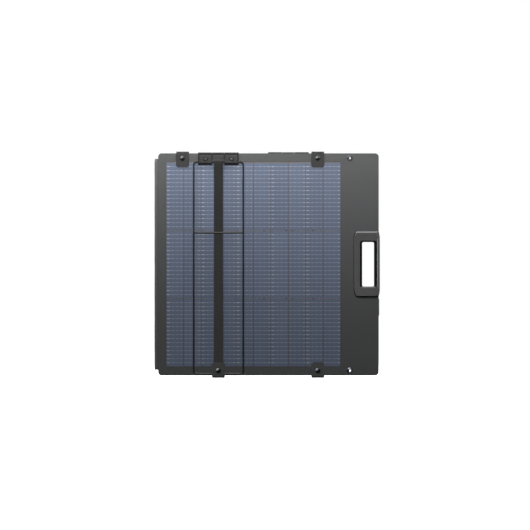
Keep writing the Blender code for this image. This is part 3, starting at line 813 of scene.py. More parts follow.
def busbar(shape, lines_x, z):
    """A row of ribbons with solder pads, and larger pads about every second gap."""
    for x0, x1 in zip(lines_x, lines_x[1:]):
        # a ribbon dives under the next cell, so it stops at each gap
        slab(shape, x0 + 1.5, x1 - 1.0, z, RIBBON_PART)
        for i in range(4):
            x = x0 + COL_PITCH * (i + 0.5) / 4 + rng.uniform(-0.15, 0.15)
            slab(shape, x - 1.3, x + 1.3, z, PAD_PART)
    for j in range(0, COLUMNS + 1, 2):
        x = lines_x[j]
        if j < COLUMNS:
            slab(shape, x + 1.3, x + 9.4, z, LEFT_PAD_PART)
        if j:
            part = LAST_PAD_PART if j == COLUMNS else RIGHT_PAD_PART
            slab(shape, x - 7.2, x - 1.5, z, part)


def cell_field():
    """One face's cells, ribbons and pads, as (x, z, height over the laminate)."""
    shape = bmesh.new()
    tone = shape.verts.layers.float.new("tone")
    lines_x = [WINDOW[0] + COL_PITCH * k for k in range(COLUMNS + 1)]
    for top in (TOP_LINE, *ROW_LINES):
        for col in range(COLUMNS):
            # the gaps are a little wider between the two halves of each wafer pair
            left, right = (0.6, 0.9) if col % 2 == 0 else (0.9, 0.6)
            x0, x1 = lines_x[col] + left, lines_x[col + 1] - right
            cell(shape, tone, x0, x1, top - ROW_PITCH + 0.75, top - 0.75)
        for k in range(1, BUSBARS + 1):
            busbar(shape, lines_x, top - BUS_PITCH * k)
    for z in (*ROW_LINES, TOP_LINE):
        for col in range(COLUMNS):
            for i in range(7):
                x = lines_x[col] + COL_PITCH * (i + 0.5) / 7
                slab(shape, x - 2.3, x + 2.3, z, LINE_PART)
    for z in ROW_LINES:
        for x in (-12.8, 48.0, 64.5, 120.0):
            slab(shape, x - 2.1, x + 2.1, z, SPOT_PART)
    mesh = bpy.data.meshes.new("cell_field")
    bmesh.ops.recalc_face_normals(shape, faces=shape.faces)
    shape.to_mesh(mesh)
    shape.free()
    return mesh


def lay_field(field, number, side):
    """Stands a copy of the field against one face of a section's laminate."""
    low, high = node_box(f"section_{number}_cell_laminate")
    face = REAR[number] if side == "rear" else FRONT[number]
    way = -1 if face < (low[1] + high[1]) / 2 else 1
    skin_y = low[1] if way < 0 else high[1]
    mesh = field.copy()
    flat = np.empty(len(mesh.vertices) * 3, np.float32)
    mesh.vertices.foreach_get("co", flat)
    x, z, height = flat.reshape(-1, 3).T
    upright = np.column_stack((x, skin_y * MM + way * (height + 0.02 * MM), z))
    mesh.vertices.foreach_set("co", upright.astype(np.float32).ravel())
    if way > 0:
        mesh.flip_normals()
    obj = bpy.data.objects.new(f"section_{number}_{side}_cell_field", mesh)
    for material in CELL_MATERIALS:
        mesh.materials.append(material)
    bpy.context.scene.collection.objects.link(obj)
    # the plates are open underneath, so make sure their faces look outwards
    shape = bmesh.new()
    shape.from_mesh(mesh)
    if sum(f.normal.y * f.calc_area() for f in shape.faces) * way < 0:
        bmesh.ops.reverse_faces(shape, faces=shape.faces)
        shape.to_mesh(mesh)
    shape.free()
    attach(obj, f"section_{number}")


FIELD = cell_field()
for number in SECTIONS:
    for side in ("rear", "front"):
        lay_field(FIELD, number, side)

# ================================================================ fold strips
STRIP_Z = (15.1, 583.7)
STRIP_T = 1.15
STRIP_ROWS = 90
BEND_STEPS = 22


def strip_line(x_edge, way, reach, start, low, high):
    """The strip's (x, y) line round the fold, as (x, y, outward x, outward y, share along)."""
    middle, radius = (low + high) / 2, (high - low) / 2
    bend = reach - radius - 0.6
    line = [(x_edge + way * start, low), (x_edge + way * bend, low)]
    for i in range(1, BEND_STEPS):
        angle = math.pi * i / BEND_STEPS
        x = x_edge + way * (bend + radius * math.sin(angle))
        line.append((x, middle - radius * math.cos(angle)))
    line += [(x_edge + way * bend, high), (x_edge + way * start, high)]
    line = dense(line, 1.1)
    stations = []
    for i, (x, y) in enumerate(line):
        run = Vector(line[min(i + 1, len(line) - 1)]) - Vector(line[max(i - 1, 0)])
        run = run.normalized()
        out_x, out_y = -run.y, run.x
        if abs(out_x) > 0.3:
            inwards = out_x * way < 0
        else:
            inwards = (out_y > 0) != (y > middle)
        if inwards:
            out_x, out_y = -out_x, -out_y
        stations.append((x, y, out_x, out_y, i / (len(line) - 1)))
    return stations


def fold_strip(number, x_edge, way, reach):
    """The cloth hinge between a section and the next; way is the sign of x it bulges to."""
    name = f"fold_strip_{number}_{number + 1}"
    box_low, box_high = node_box(name)
    low, high = box_low[1] + 0.6, box_high[1] - 0.6
    start = 0.0 if way > 0 else TURN + 0.02
    line = strip_line(x_edge, way, reach, start, low, high)
    z0, z1 = STRIP_Z
    phase = rng.uniform(0, 6)
    levels = []
    for j in range(STRIP_ROWS + 1):
        z = z0 + (z1 - z0) * j / STRIP_ROWS
        from_end = min(z - z0, z1 - z)
        thin = min(1.0, 0.45 + from_end / 1.2)
        outer, inner = [], []
        for x, y, out_x, out_y, t in line:
            # long slack ripples, and the strip's ends drawn in
            slack = math.sin(math.pi * t) ** 2
            waves = math.sin(z * 0.055 + phase) + 0.6 * math.sin(z * 0.131 + 2.1 * phase + 2 * t)
            ripple = 0.16 * slack * waves
            pull = 0.5 * slack * max(0.0, 1 - from_end / 7.0) ** 2
            for side, points in ((1, outer), (-1, inner)):
                out = side * STRIP_T / 2 * thin + ripple - pull
                out = min(out, STRIP_T / 2 + 0.1)
                points.append((x + out_x * out, y + out_y * out, z))
        levels.append(outer + inner[::-1])
    shape = loft(bmesh.new(), levels)
    strip = make(f"{name}_cloth", shape, STRIP, replaces=[name], smooth=50)
    seam = strip.data.attributes.new("seam", "FLOAT", "POINT")
    for v in strip.data.vertices:
        seam.data[v.index].value = 1.0 if abs(v.co.x / MM - x_edge) < start + 1.9 else 0.0
    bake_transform(strip)


fold_strip(1, x_edge=LEFT, way=-1, reach=11.4)
fold_strip(2, x_edge=RIGHT_NARROW, way=1, reach=10.65)
fold_strip(3, x_edge=LEFT, way=-1, reach=11.4)

# ================================================================ kickstands
WIRE_R, WIRE_HALF = 2.5, 66.8
WIRE_TOP, WIRE_CROSS, WIRE_BOTTOM = 574.0, 385.4, 4.3  # heights of the wire's bars
WIRE_STAND = 4.0  # the wire's centre stands this far out
LEAF_SPLIT, LEAF_W = 16.8, 38.0
LEAF_OUT = 8.5  # how far out the leaf pads stand
WEBBING_T, WEBBING_HALF = 1.0, 11.85
LIP_Z = {1: 600.8, 4: 602.2}  # tops of the hinge leaves


def rim_profile(lip):
    return [
        (7.2, 597.0), (8.0, 597.0), (8.2, 597.2), (8.2, lip - 0.5), (7.9, lip - 0.1),
        (7.2, lip - 0.1),
    ]


def stand_wire(number):
    """The wire loop and its crossbar."""
    middle = STAND_X[number] + (0.8 if number == 1 else 0.0)
    y = off_rear(number)(WIRE_STAND)
    loop = rounded(middle - WIRE_HALF, middle + WIRE_HALF, WIRE_BOTTOM, WIRE_TOP, 7.5, 9)
    loop = dense(loop + loop[:1], 22)[:-1]
    levels = tube([(x, y, z) for x, z in loop], WIRE_R, 20, closed=True)
    shape = loft(bmesh.new(), levels, ring=True)
    # the crossbar, with a bead of weld where it meets the side wires: x from the left, radius
    bead = ((0.4, 2.5), (1.9, 2.9), (2.6, 2.9), (3.4, 2.65), (4.4, 2.47), (5.4, 2.45))
    bar = [(along - WIRE_HALF, radius) for along, radius in bead]
    bar += [(x, 2.45) for x in (-40, -15, 15, 40)] + [(-x, r) for x, r in reversed(bar)]
    centres = [(middle + x, y, WIRE_CROSS - 0.8) for x, _ in bar]
    loft(shape, tube(centres, [radius for _, radius in bar], 20))
    wire = make(
        f"kickstand_{number}_wire", shape, WIRE, f"kickstand_{number}",
        [f"kickstand_{number}_wire_loop"], 50,
    )
    wire.visible_shadow = False
    wire.data.materials.append(WIRE_LIT)
    # the upper sides of the crossbar and the lower bar get the lighter coat, a painted highlight
    # from the lamp above
    for f in wire.data.polygons:
        x, z = f.center.x / MM, f.center.z / MM
        on_bar = z < WIRE_BOTTOM + 3.2 or abs(z - WIRE_CROSS) < 4.1
        if f.normal.z > 0.12 and on_bar and abs(x - middle) < WIRE_HALF - 2.6:
            f.material_index = 1


def hinge_leaf(number, word, way):
    """A leaf over the wire's top bar, with a raised pad, a rim on top and one at its far side."""
    at, body, lip = off_rear(number), f"section_{number}", LIP_Z[number]
    name = f"kickstand_{number}_{word}_leaf"
    base = [
        (0.3, 566.7), (7.1, 566.7), (7.4, 567.0), (7.4, lip - 0.3), (7.1, lip), (0.3, lip),
    ]
    pad = [
        (7.2, 572.3), (7.7, 572.3), (LEAF_OUT, 573.0), (LEAF_OUT, 591.9), (8.0, 594.5),
        (7.2, 594.5),
    ]
    side = [
        (7.2, 571.0), (7.9, 571.0), (8.1, 571.3), (8.1, lip - 0.6), (7.9, lip - 0.2),
        (7.2, lip - 0.2),
    ]
    near = STAND_X[number] + way * LEAF_SPLIT
    far = STAND_X[number] + way * (LEAF_SPLIT + LEAF_W)
    if way < 0:
        x0, x1 = far + 0.4, near
        pad_x = (x0 + 3.3, x1 - 1.1)
        side_x = x0
    else:
        x0, x1 = near, far + 0.6
        pad_x = (x0 + 1.1, x1 - 3.2)
        side_x = x1 - 1.2
    # the leaf's base is the dark plastic: painted shade round the raised pad and rim
    profiled(
        name, base, x0, x1, at, 0.2, SHADE_PLASTIC, body,
        [circle(WIRE_STAND, WIRE_TOP, WIRE_R + 0.32, 24)],
        [f"kickstand_{number}_{word}_bracket"],
    )
    profiled(f"{name}_pad", pad, *pad_x, at, 0.15, LEAF_PLASTIC, body)
    profiled(f"{name}_rim", rim_profile(lip), x0 + 0.3, x1 - 0.3, at, 0.12, LEAF_PLASTIC, body)
    profiled(f"{name}_side", side, side_x, side_x + 1.2, at, 0.12, LEAF_PLASTIC, body)


def hinge_rivet(number, word, way):
    # (radius, distance out); the head's distances are from the leaf pad
    head = [
        (0, 1.0), (1.6, 0.9), (2.9, 0.72), (3.7, 0.5), (4.05, 0.3), (4.05, 0.1), (6.3, 0.1),
        (6.35, 0.35), (6.6, 0.42), (6.85, 0.25), (6.95, -0.25), (2.0, -0.25),
    ]
    head = [(radius, LEAF_OUT + out) for radius, out in head] + [(2.0, 0.5)]
    back = [
        (2.0, -3.0), (2.0, -4.75), (3.6, -4.8), (4.0, -5.1), (3.6, -5.5), (2.0, -5.68), (0, -5.7),
    ]
    x, z = STAND_X[number] + way * RIVET_SPREAD + 0.65, 582.9
    at = off_rear(number)
    shape = turned(bmesh.new(), head, x, z, 36, at)
    # the groove round the head's dome is the dark plastic: painted shade
    for f in shape.faces:
        centre = f.calc_center_median()
        if 3.95 < math.hypot(centre.x / MM - x, centre.z / MM - z) < 6.37:
            f.material_index = 1
    turned(shape, back, x, z, 28, at)
    name = f"kickstand_{number}_{word}_rivet"
    rivet = make(
        f"{name}_head", shape, RIVET_PLASTIC, f"section_{number}", [name], 30
    )
    rivet.data.materials.append(SHADE_PLASTIC)


def strap_clip(number):
    """The clip that clamps the webbing's upper end between the leaves."""
    at, body, lip, middle = off_rear(number), f"section_{number}", LIP_Z[number], STAND_X[number]
    name = f"kickstand_{number}_clip"
    clip = [
        (5.2, 580.1), (7.9, 580.1), (8.0, 580.3), (8.0, lip - 0.4), (7.8, lip - 0.2),
        (1.65, lip - 0.2), (1.65, 583.0), (5.2, 583.0),
    ]
    pad = [
        (7.8, 580.5), (8.4, 580.5), (LEAF_OUT, 580.7), (8.2, 583.3), (8.1, 583.5), (8.1, 583.8),
        (8.4, 584.1), (LEAF_OUT, 584.5), (LEAF_OUT, 591.9), (8.1, 594.5), (7.8, 594.5),
    ]
    # the clip's body is the dark plastic: painted shade round its pad and rim
    replaced = [f"kickstand_{number}_strap_clip"]
    # name, profile, half length, edge rounding, material, what it replaces
    for part, profile, half, edge, material, replaces in (
        (name, clip, 16.2, 0.1, SHADE_PLASTIC, replaced),
        (f"{name}_pad", pad, 15.2, 0.12, LEAF_PLASTIC, ()),
        (f"{name}_rim", rim_profile(lip), 15.8, 0.12, LEAF_PLASTIC, ()),
    ):
        x0, x1 = middle - half, middle + half
        profiled(part, profile, x0, x1, at, edge, material, body, replaces=replaces)


def stand_webbing(number):
    """Webbing over the wire's top bar, then under the crossbar, down to the lower edge."""
    at, middle = off_rear(number), STAND_X[number] + 0.5
    flat = GAP + WEBBING_T / 2
    over = WIRE_STAND + WIRE_R + GAP + WEBBING_T / 2
    # (distance out, z)
    run = [
        (flat, 597.0), (flat, 580.6), (flat + 1.0, 579.4), (over - 1.2, 578.3), (over, 576.8),
        (over, 571.4), (over - 0.6, 569.6), (flat + 2.0, 549.0), (flat, 528.0), (flat, 300.0),
        (flat, 8.6),
    ]
    run = dense(eased(run, radius=1.4, steps=4), 9.0)
    lows, highs = [], []
    for _, z in run:
        wobble = 0.12 * math.sin(z * 0.09) + 0.08 * math.sin(z * 0.23 + 1)
        lows.append(middle - WEBBING_HALF + wobble)
        highs.append(middle + WEBBING_HALF + wobble * 0.7)
    across = [
        (0.0, 0.35), (0.35, 0.85), (1.1, 1.0), (2.0, 0.8), (2.6, 0.96), (6.0, 1.0), (10.5, 1.0),
    ]
    shape = band([(at(out), z) for out, z in run], lows, highs, across, WEBBING_T)
    name = f"kickstand_{number}_webbing"
    make(name, shape, WEBBING, f"section_{number}", [f"{name}_strap"], 40)


for number in OUTERMOST:
    stand_wire(number)
    for way, word in ((-1, "left"), (1, "right")):
        hinge_leaf(number, word, way)
        hinge_rivet(number, word, way)
    strap_clip(number)
    stand_webbing(number)

# ================================================================ handles
HANDLE_X, HANDLE_Z = (229.1, 299.7), (210.9, 389.1)
HANDLE_MIDDLE_Z = 299.8
COUNT = 420  # points in every loop of a handle shell


def handle_outline(left, right, top, bottom):
    """The handle's outline with curved shoulders, drawn in by an inset on each side."""
    x0, x1 = HANDLE_X[0] + left, HANDLE_X[1] - right
    z0, z1 = HANDLE_Z[0] + bottom, HANDLE_Z[1] - top
    points = []
    for way, end in ((1, z1), (-1, z0)):
        part = [(x1 - 3.4 * (i / 6) ** 2, end - way * 22 * (1 - i / 6)) for i in range(7)]
        part += [
            (x1 - 4.4, end - way * 0.5), (x1 - 6.0, end), (x0 + 9.0, end),
            (x0 + 7.4, end - way * 0.5),
        ]
        part += [
            (x0 + 6.6 * (i / 6) ** 2, end - way * 22 * (1 - i / 6)) for i in reversed(range(7))
        ]
        points += part[::way]
    return points


def resampled(loop):
    """COUNT points evenly along a counter-clockwise loop, from where it crosses the
    handle's middle height furthest towards +X."""
    points, middle = [Vector(p) for p in loop], HANDLE_MIDDLE_Z
    size = len(points)
    crossings = []
    for i, a in enumerate(points):
        b = points[(i + 1) % size]
        if (a.y - middle) * (b.y - middle) <= 0 and abs(b.y - a.y) > 1e-9:
            t = (middle - a.y) / (b.y - a.y)
            crossings.append((a.x + (b.x - a.x) * t, i))
    x, at = max(crossings, key=lambda crossing: crossing[0])
    first = Vector((x, middle))
    order = [first] + [points[(at + 1 + k) % size] for k in range(size)] + [first]
    lengths = [0.0]
    for a, b in zip(order, order[1:]):
        lengths.append(lengths[-1] + (b - a).length)
    even, j = [], 0
    for k in range(COUNT):
        want = lengths[-1] * k / COUNT
        while lengths[j + 1] < want:
            j += 1
        span = lengths[j + 1] - lengths[j]
        t = (want - lengths[j]) / span if span > 1e-9 else 0
        even.append(tuple(order[j].lerp(order[j + 1], t)))
    return even


def between(one, two, t):
    return [(a + (c - a) * t, b + (d - b) * t) for (a, b), (c, d) in zip(one, two)]


def inset_handle(inset):
    return resampled(handle_outline(inset, inset, inset, inset))


def outer_grip(number, neck):
    """The shell on the rear face, dished round the opening."""
    footprint = handle_outline(0.0, 0.0, 0.0, 1.3)
    foot = resampled(footprint)
    base = resampled(handle_outline(0.8, 1.0, 0.5, 2.6))
    top = resampled(handle_outline(1.8, 6.0, 4.9, 3.4))
    dish = rounded(246.3, 292.0, 236.3, 363.2, 6.0, 10)
    rim = resampled(dish)
    stations = [
        (resampled(offset(footprint, -0.35)), 0.3), (foot, 0.6), (foot, 1.4),
        (between(foot, base, 0.3), 1.65), (base, 1.7), (between(base, top, 0.05), 2.0),
        (between(base, top, 0.86), 4.15), (between(base, top, 0.96), 4.38),
        (between(base, top, 1.08), 4.45), (resampled(offset(dish, 0.45)), 4.45),
        (resampled(offset(dish, 0.15)), 4.38), (rim, 4.2), (between(rim, neck, 0.5), 2.5),
        (between(rim, neck, 0.96), 0.9), (neck, 0.3),
    ]
    shape = loft(bmesh.new(), stacked(stations, off_rear(number)), ring=True)
    name = f"handle_{number}_outer"
    grip = make(
        f"{name}_grip", shape, PLASTIC, f"section_{number}", [f"{name}_shell"], 28
    )
    for material in (SHADE_PLASTIC, POLISHED_HIGHLIGHT, CREST_HIGHLIGHT):
        grip.data.materials.append(material)
    # the foot and the shaded walls of the opening get painted shade, the dark plastic; the upper
    # chamfer, the opening's lower lip and the crest beside the opening are polished and lighter, a
    # painted highlight
    for f in grip.data.polygons:
        station = f.index // COUNT
        x, z = f.center.x / MM, f.center.z / MM
        if station <= 3 or (10 <= station <= 13 and f.normal.z < 0.35):
            f.material_index = 1
        elif (station == 5 and z > 382.5 and 238.0 < x < 292.4) or (
            station in (9, 10) and z < 242
        ):
            f.material_index = 2
        elif station in (6, 7, 8) and x > 292.6 and 238 < z < 368:
            f.material_index = 3


def inner_grip(number, neck):
    """The shell on the front face."""
    outer = inset_handle(0.6)
    high = resampled(handle_outline(2.4, 2.4, 2.6, 2.6))
    opening = rounded(*OPENING, 4.0, 10)
    stations = [
        (inset_handle(1.0), 0.3), (outer, 0.7), (outer, 4.3), (between(outer, high, 0.25), 5.4),
        (between(outer, high, 0.7), 6.4), (high, 6.7), (resampled(offset(opening, 1.6)), 6.7),
        (resampled(offset(opening, 0.4)), 6.3), (neck, 5.2), (neck, 0.3),
    ]
    shape = loft(bmesh.new(), stacked(stations, off_front(number)), ring=True)
    name = f"handle_{number}_inner"
    make(f"{name}_grip", shape, PLASTIC, f"section_{number}", [f"{name}_shell"], 28)


NECK = resampled(rounded(252.1, 284.5, 239.6, 359.5, 4.0, 10))
for number in OUTERMOST:
    outer_grip(number, NECK)
    inner_grip(number, NECK)

# ================================================================ eyelets
# (radius, distance out of the rear face): the ring there, then the one behind the section
EYELET_PROFILE = [
    (3.85, 0.2), (3.95, 0.75), (4.4, 1.25), (5.0, 1.42), (5.6, 1.35), (6.4, 0.95), (7.1, 0.4),
    (7.25, 0.3), (5.0, 0.3),
    (5.0, -4.8), (7.0, -4.8), (7.25, -4.95), (6.9, -5.35), (5.8, -5.6), (4.7, -5.5), (4.1, -5.1),
    (4.0, -4.5),
]
for number in OUTERMOST:
    for x, z, word in EYELETS:
        shape = turned(bmesh.new(), EYELET_PROFILE, x, z, 40, off_rear(number), ring=True)
        name = f"section_{number}_{word}_eyelet"
        make(f"{name}_ring", shape, METAL, f"section_{number}", [name], 40)

# ================================================================ closure straps and snaps
# place, x of the centre, at the top edge, over the kickstand's webbing
CLOSURES = (
    ("top_left", -232.0, True, False), ("top_right", 132.5, True, False),
    ("bottom_left", -135.4, False, True), ("bottom_right", 132.5, False, False),
)
STRAP_W, STRAP_T, REACH, SNAP_INSET = 34.0, 1.0, 36.6, 13.5
STRAP_BEND, STRAP_CORNER, STRAP_FLARE = 2.6, 7.0, 0.9
BACK = REAR[4] + GAP + STRAP_T / 2
STRAP_ACROSS = [
    (0.0, 0.55), (0.22, 0.86), (0.6, 1.0), (1.7, 1.0), (1.95, 0.78), (2.35, 0.78), (2.6, 1.0),
    (5.0, 1.0), (9.0, 1.0), (13.0, 1.0),
]
# (radius, distance out)
CAP_PROFILE = [
    (0, 3.3), (1.2, 3.26), (2.4, 3.1), (3.5, 2.75), (4.4, 2.2), (5.0, 1.65), (5.35, 1.3),
    (5.75, 1.22), (6.25, 1.05), (6.5, 0.6), (6.5, 0.25), (6.2, -0.1), (5.6, -0.3), (0, -0.3),
]


def arc(y, z, radius, start, end, steps=8):
    angles = [math.radians(start + (end - start) * i / steps) for i in range(steps + 1)]
    return [(y + radius * math.cos(a), z + radius * math.sin(a)) for a in angles]


def closure_strap(word, middle, up, stand_off, level, front_y):
    """From section 4's rear face over the edge and down section 1's rear face.
    up is the sign of z towards the edge; level is z of the strap over the edge."""
    # (y, height over level, towards the edge)
    bend = STRAP_BEND
    path = [(BACK, -28.0), (BACK, -bend)] + arc(BACK - bend, -bend, bend, 0, 90)[1:]
    path += arc(front_y + bend, -bend, bend, 90, 180)
    end = -stand_off - (REACH + (1.3 if up > 0 else -1.2))
    path = dense(path + [(front_y, end + STRAP_CORNER)], 1.8)
    # slightly narrower where the strap is bent over the edge
    widths = []
    for y, height in path:
        share = max(0.0, min(1.0, (-height - 4) / 5)) if y < front_y + 0.4 else 0.0
        widths.append(STRAP_W / 2 + STRAP_FLARE * share)
    for i in range(1, 11):
        angle = math.radians(90 * i / 10)
        path.append((front_y, end + STRAP_CORNER * (1 - math.sin(angle))))
        widths.append(STRAP_W / 2 + STRAP_FLARE - STRAP_CORNER * (1 - math.cos(angle)))
    path = [(y, level + up * height) for y, height in path]
    lows, highs = [middle - w for w in widths], [middle + w for w in widths]
    strap = make(
        f"closure_{word}_strap", band(path, lows, highs, STRAP_ACROSS, STRAP_T), STRAP,
        replaces=[f"closure_strap_{word}", f"closure_flap_{word}"], smooth=40,
    )
    strap.visible_shadow = False
    # the undersides of the lower straps get a dark copy of the cloth, painted shade
    strap.data.materials.append(STRAP_PAINTED_SHADE)
    for f in strap.data.polygons:
        if f.normal.z < -0.04 and f.center.z < -0.0030:
            f.material_index = 1
    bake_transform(strap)


def box_stitch(word, middle, up, level):
    """A crossed square of stitches where the strap is sewn to section 4."""
    y = BACK + STRAP_T / 2
    z0, z1 = level - up * 8.5, level - up * 25.5
    x0, x1 = middle - 13.0, middle + 13.0
    a, b, c, d = (x0, z0), (x1, z0), (x1, z1), (x0, z1)
    shape = bmesh.new()
    for start, end in ((a, b), (b, c), (c, d), (d, a), (a, c), (d, b)):
        stitch_line(shape, start, end, y)
    make(f"closure_{word}_stitching", shape, THREAD, "section_4")


def snap(word, x, z, front_y, over_wire):
    """The snap's cap on the strap and its stud on section 1."""
    cap_at = standing(front_y - STRAP_T / 2 - GAP, -1)
    shape = turned(bmesh.new(), CAP_PROFILE, x, z, 40, cap_at)
    make(f"snap_{word}_cap", shape, LACQUER, f"flap_{word}", [f"snap_cap_{word}"], 38)
    base = REAR[1] - (GAP * 2 + WEBBING_T if over_wire else GAP)
    length = base - (front_y + STRAP_T / 2 + GAP)
    profile = [
        (0, length), (1.6, length), (2.2, length - 0.25), (2.6, length - 0.8),
        (2.45, length - 1.3), (2.1, 0.75), (2.6, 0.5), (4.6, 0.42), (5.0, 0.15), (5.0, 0), (0, 0),
    ]
    shape = turned(bmesh.new(), profile, x, z, 28, standing(base, -1))
    make(f"snap_{word}_stud", shape, STUD, "section_1", [f"snap_stud_{word}"])


for word, middle, is_top, over_wire in CLOSURES:
    edge, up, stand_off = (HEIGHT, 1, 4.5) if is_top else (0.0, -1, 5.8)
    level = edge + up * stand_off
    front_y = REAR[1] - (7.4 if over_wire else 3.55)
    closure_strap(word, middle, up, stand_off, level, front_y)
    box_stitch(word, middle, up, level)
    snap(word, middle, edge - up * SNAP_INSET, front_y, over_wire)

# ================================================================ junction box and output lead
BOX_X, BOX_Z = (236.0, 298.5), (159.6, 208.2)
LEAD_X, PLUG_X, LEAD_R = 258.0, 282.0, 2.6
LEAD_TOP, RELIEF_END = BOX_Z[0] - 0.3, 145.0
LEAD_Y = off_front(4)(0.3 + 4.6)
# (inset, distance out)
TRAY_STEPS = ((0.4, 0.3), (0.0, 0.8), (0.0, 5.6), (0.25, 6.2), (0.8, 6.9))
LID_STEPS = (
    (1.0, 7.2), (0.6, 7.45), (0.6, 8.7), (0.9, 9.5), (1.6, 10.05), (2.6, 10.2), (7.0, 10.2),
    (7.4, 9.9), (7.8, 9.9),
)


def box_part(name, steps, radius, radius_share, replaces):
    """Rounded rectangles stacked outwards; the corners tighten by a share of the inset."""
    stations = []
    for inset, out in steps:
        corner = max(radius - inset * radius_share, 1.0)
        x0, x1, z0, z1 = (*BOX_X, *BOX_Z)
        loop = rounded(x0 + inset, x1 - inset, z0 + inset, z1 - inset, corner, 8)
        stations.append((loop, out))
    shape = loft(bmesh.new(), stacked(stations, off_front(4)))
    make(name, shape, BOX_PLASTIC, "section_4", [replaces])


def output_lead():
    """Down from the box through a ribbed strain relief, round a U and up to the plug."""
    y, middle, radius = LEAD_Y, (LEAD_X + PLUG_X) / 2, (PLUG_X - LEAD_X) / 2
    line = [(LEAD_X, y, LEAD_TOP), (LEAD_X, y, 74.0)]
    for i in range(21):
        angle = math.pi * i / 20
        line.append((middle - radius * math.cos(angle), y, 70.0 - radius * math.sin(angle)))
    line += [(PLUG_X, y, 74.0), (PLUG_X, y, 96.7)]
    relief = dense([(LEAD_X, y, LEAD_TOP), (LEAD_X, y, RELIEF_END)], 0.6)
    rest = [p for p in dense(line, 7) if not (p[0] < LEAD_X + 1 and p[2] > RELIEF_END - 0.1)]
    radii = []
    for _, _, z in relief:
        down = 159.3 - z
        rib = 0.35 if int(down / 1.5) % 2 == 0 else -0.15
        radii.append(3.7 - 0.5 * down / 14.3 + rib)
    levels = tube(relief + rest, radii + [LEAD_R] * len(rest))
    shape = loft(bmesh.new(), levels)
    make("output_lead", shape, RUBBER, "section_4", ["output_cable"], 45)


def output_plug():
    """A plug with a ribbed grip, flattened in Y."""
    # (z, radius)
    rows = [(97.0, 3.6), (97.4, 4.4), (101.0, 5.0), (101.5, 6.2), (102.2, 6.6)]
    z = 104.0
    while z < 124.0:
        rows += [(z, 6.6), (z + 0.5, 6.2), (z + 1.3, 6.2), (z + 1.8, 6.6)]
        z += 2.6
    rows += [
        (125.4, 6.6), (126.2, 6.1), (127.0, 5.2), (140.4, 5.2), (141.2, 4.9), (142.6, 4.6),
        (143.0, 4.0),
    ]
    angles = [2 * math.pi * k / 28 for k in range(28)]
    levels = []
    for z, radius in rows:
        depth = min(radius, 4.3)
        levels.append([
            (PLUG_X + radius * math.cos(a), LEAD_Y + depth * math.sin(a), z) for a in angles
        ])
    shape = loft(bmesh.new(), levels)
    make("output_plug", shape, RUBBER, "section_4", ["output_connector"], 30)


box_part("junction_box_tray", TRAY_STEPS, 4.0, 0.5, "junction_box_base")
box_part("junction_box_cover", LID_STEPS, 3.8, 0.35, "junction_box_lid")
output_lead()
output_plug()

# ================================================================ stage, light and camera
# Everything here is in metres.
FLOOR_Z, FLOOR_HALF = -0.0064, 14.0


def floor_paper():
    """White to the camera and mid grey to camera rays' light, but dim to all other rays."""
    material = bpy.data.materials.new("floor_paper")
    tree = fresh_tree(material)
    output = add_node(tree, "OutputMaterial")
    mix = add_node(tree, "MixShader")
    glow = add_node(tree, "Emission", {"Color": (1, 1, 1, 1), "Strength": 1.0})
    flat = add_node(tree, "BsdfDiffuse")
    grain = add_node(tree, "TexNoise", {"Scale": 220.0}).outputs["Fac"]
    ramp = add_node(tree, "MapRange", {"To Min": 0.44, "To Max": 0.48, "Value": grain})
    put(flat, {"Color": ramp.outputs[0]})
    rays = add_node(tree, "LightPath")
    both = add_node(tree, "AddShader", {0: glow.outputs[0], 1: flat.outputs[0]})
    dim = add_node(tree, "BsdfDiffuse", {"Color": (0.07, 0.07, 0.07, 1)})
    put(mix, {0: rays.outputs["Is Camera Ray"], 1: dim.outputs[0], 2: both.outputs[0]})
    put(output, {0: mix.outputs[0]})
    return material


def stage_floor():
    shape = bmesh.new()
    for x, y in ((-1, -1), (1, -1), (1, 1), (-1, 1)):
        shape.verts.new((x * FLOOR_HALF, y * FLOOR_HALF, FLOOR_Z))
    shape.faces.new(shape.verts)
    mesh = bpy.data.meshes.new("floor")
    shape.to_mesh(mesh)
    shape.free()
    obj = bpy.data.objects.new("floor", mesh)
    bpy.context.scene.collection.objects.link(obj)
    mesh.materials.append(floor_paper())


def studio_world():
    """White behind the product, with a faint cool light cast on it."""
    world = bpy.data.worlds.new("studio")
    bpy.context.scene.world = world
    tree = fresh_tree(world)
    output = add_node(tree, "OutputWorld")
    seen = add_node(tree, "Background", {"Color": (1, 1, 1, 1), "Strength": 1.0})
    cast = add_node(tree, "Background", {"Color": (0.96, 0.98, 1.0, 1), "Strength": 0.058})
    mix = add_node(tree, "MixShader")
    rays = add_node(tree, "LightPath")
    put(mix, {0: rays.outputs["Is Camera Ray"], 1: cast.outputs[0], 2: seen.outputs[0]})
    put(output, {0: mix.outputs[0]})


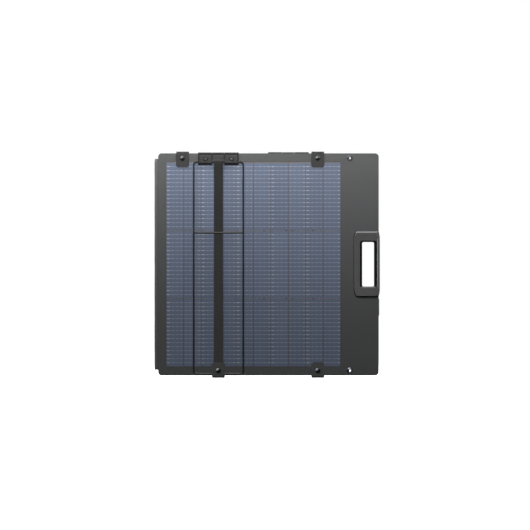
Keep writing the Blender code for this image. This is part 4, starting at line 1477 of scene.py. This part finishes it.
def area(name, where, towards, size, power, colour=WHITE):
    data = bpy.data.lights.new(name, "AREA")
    data.shape = "RECTANGLE"
    data.size, data.size_y = size
    data.energy = power
    data.color = colour
    obj = bpy.data.objects.new(name, data)
    obj.location = where
    way = Vector(towards) - Vector(where)
    obj.rotation_euler = way.to_track_quat("-Z", "Y").to_euler()
    bpy.context.scene.collection.objects.link(obj)
    obj.visible_camera = False


def set_camera():
    data = bpy.data.cameras.new("camera")
    data.sensor_width = 36.0
    data.lens = 302.35
    data.clip_end = 60.0
    camera = bpy.data.objects.new("camera", data)
    camera.location = (-0.0098, -12.0, 0.29758)
    camera.rotation_euler = (math.radians(90), 0, 0)
    bpy.context.scene.collection.objects.link(camera)
    bpy.context.scene.camera = camera


stage_floor()
studio_world()
area(
    "key_top", where=(-0.18, -0.36, 0.89), towards=(-0.08, 0.0, 0.60), size=(1.9, 0.16),
    power=14.1, colour=(1.0, 0.995, 0.985),
)
area(
    "spark_left", where=(-1.4, -1.4, 1.35), towards=(0, 0, 0.3), size=(0.9, 0.9),
    power=12.0, colour=(0.95, 0.975, 1.0),
)
area("back_top", where=(0.1, 0.80, 1.2), towards=(0.0, 0.02, 0.45), size=(2.0, 0.4), power=34.0)
area("side_right", where=(1.7, 0.42, 0.9), towards=(0.25, 0.02, 0.3), size=(1.0, 1.0), power=50.0)
area("side_left", where=(-1.7, 0.55, 0.9), towards=(-0.25, 0.02, 0.3), size=(1.0, 1.0), power=10.0)
set_camera()
bpy.context.scene.view_settings.view_transform = "Standard"
bpy.context.scene.view_settings.look = "None"


# ================================================================ shading normals
def weigh_normals():
    """Keeps flat faces flat beside their rounded edges."""
    rigid = [obj for obj in bpy.context.scene.collection.objects if obj in MADE]
    for obj in rigid:
        weigh = obj.modifiers.new("weigh", "WEIGHTED_NORMAL")
        weigh.mode, weigh.weight, weigh.keep_sharp = "FACE_AREA", 90, True
    graph = bpy.context.evaluated_depsgraph_get()
    # every mesh is evaluated before any object is changed
    meshes = [
        bpy.data.meshes.new_from_object(
            obj.evaluated_get(graph), preserve_all_data_layers=True, depsgraph=graph
        )
        for obj in rigid
    ]
    for obj, mesh in zip(rigid, meshes):
        obj.modifiers.clear()
        obj.data = mesh


weigh_normals()
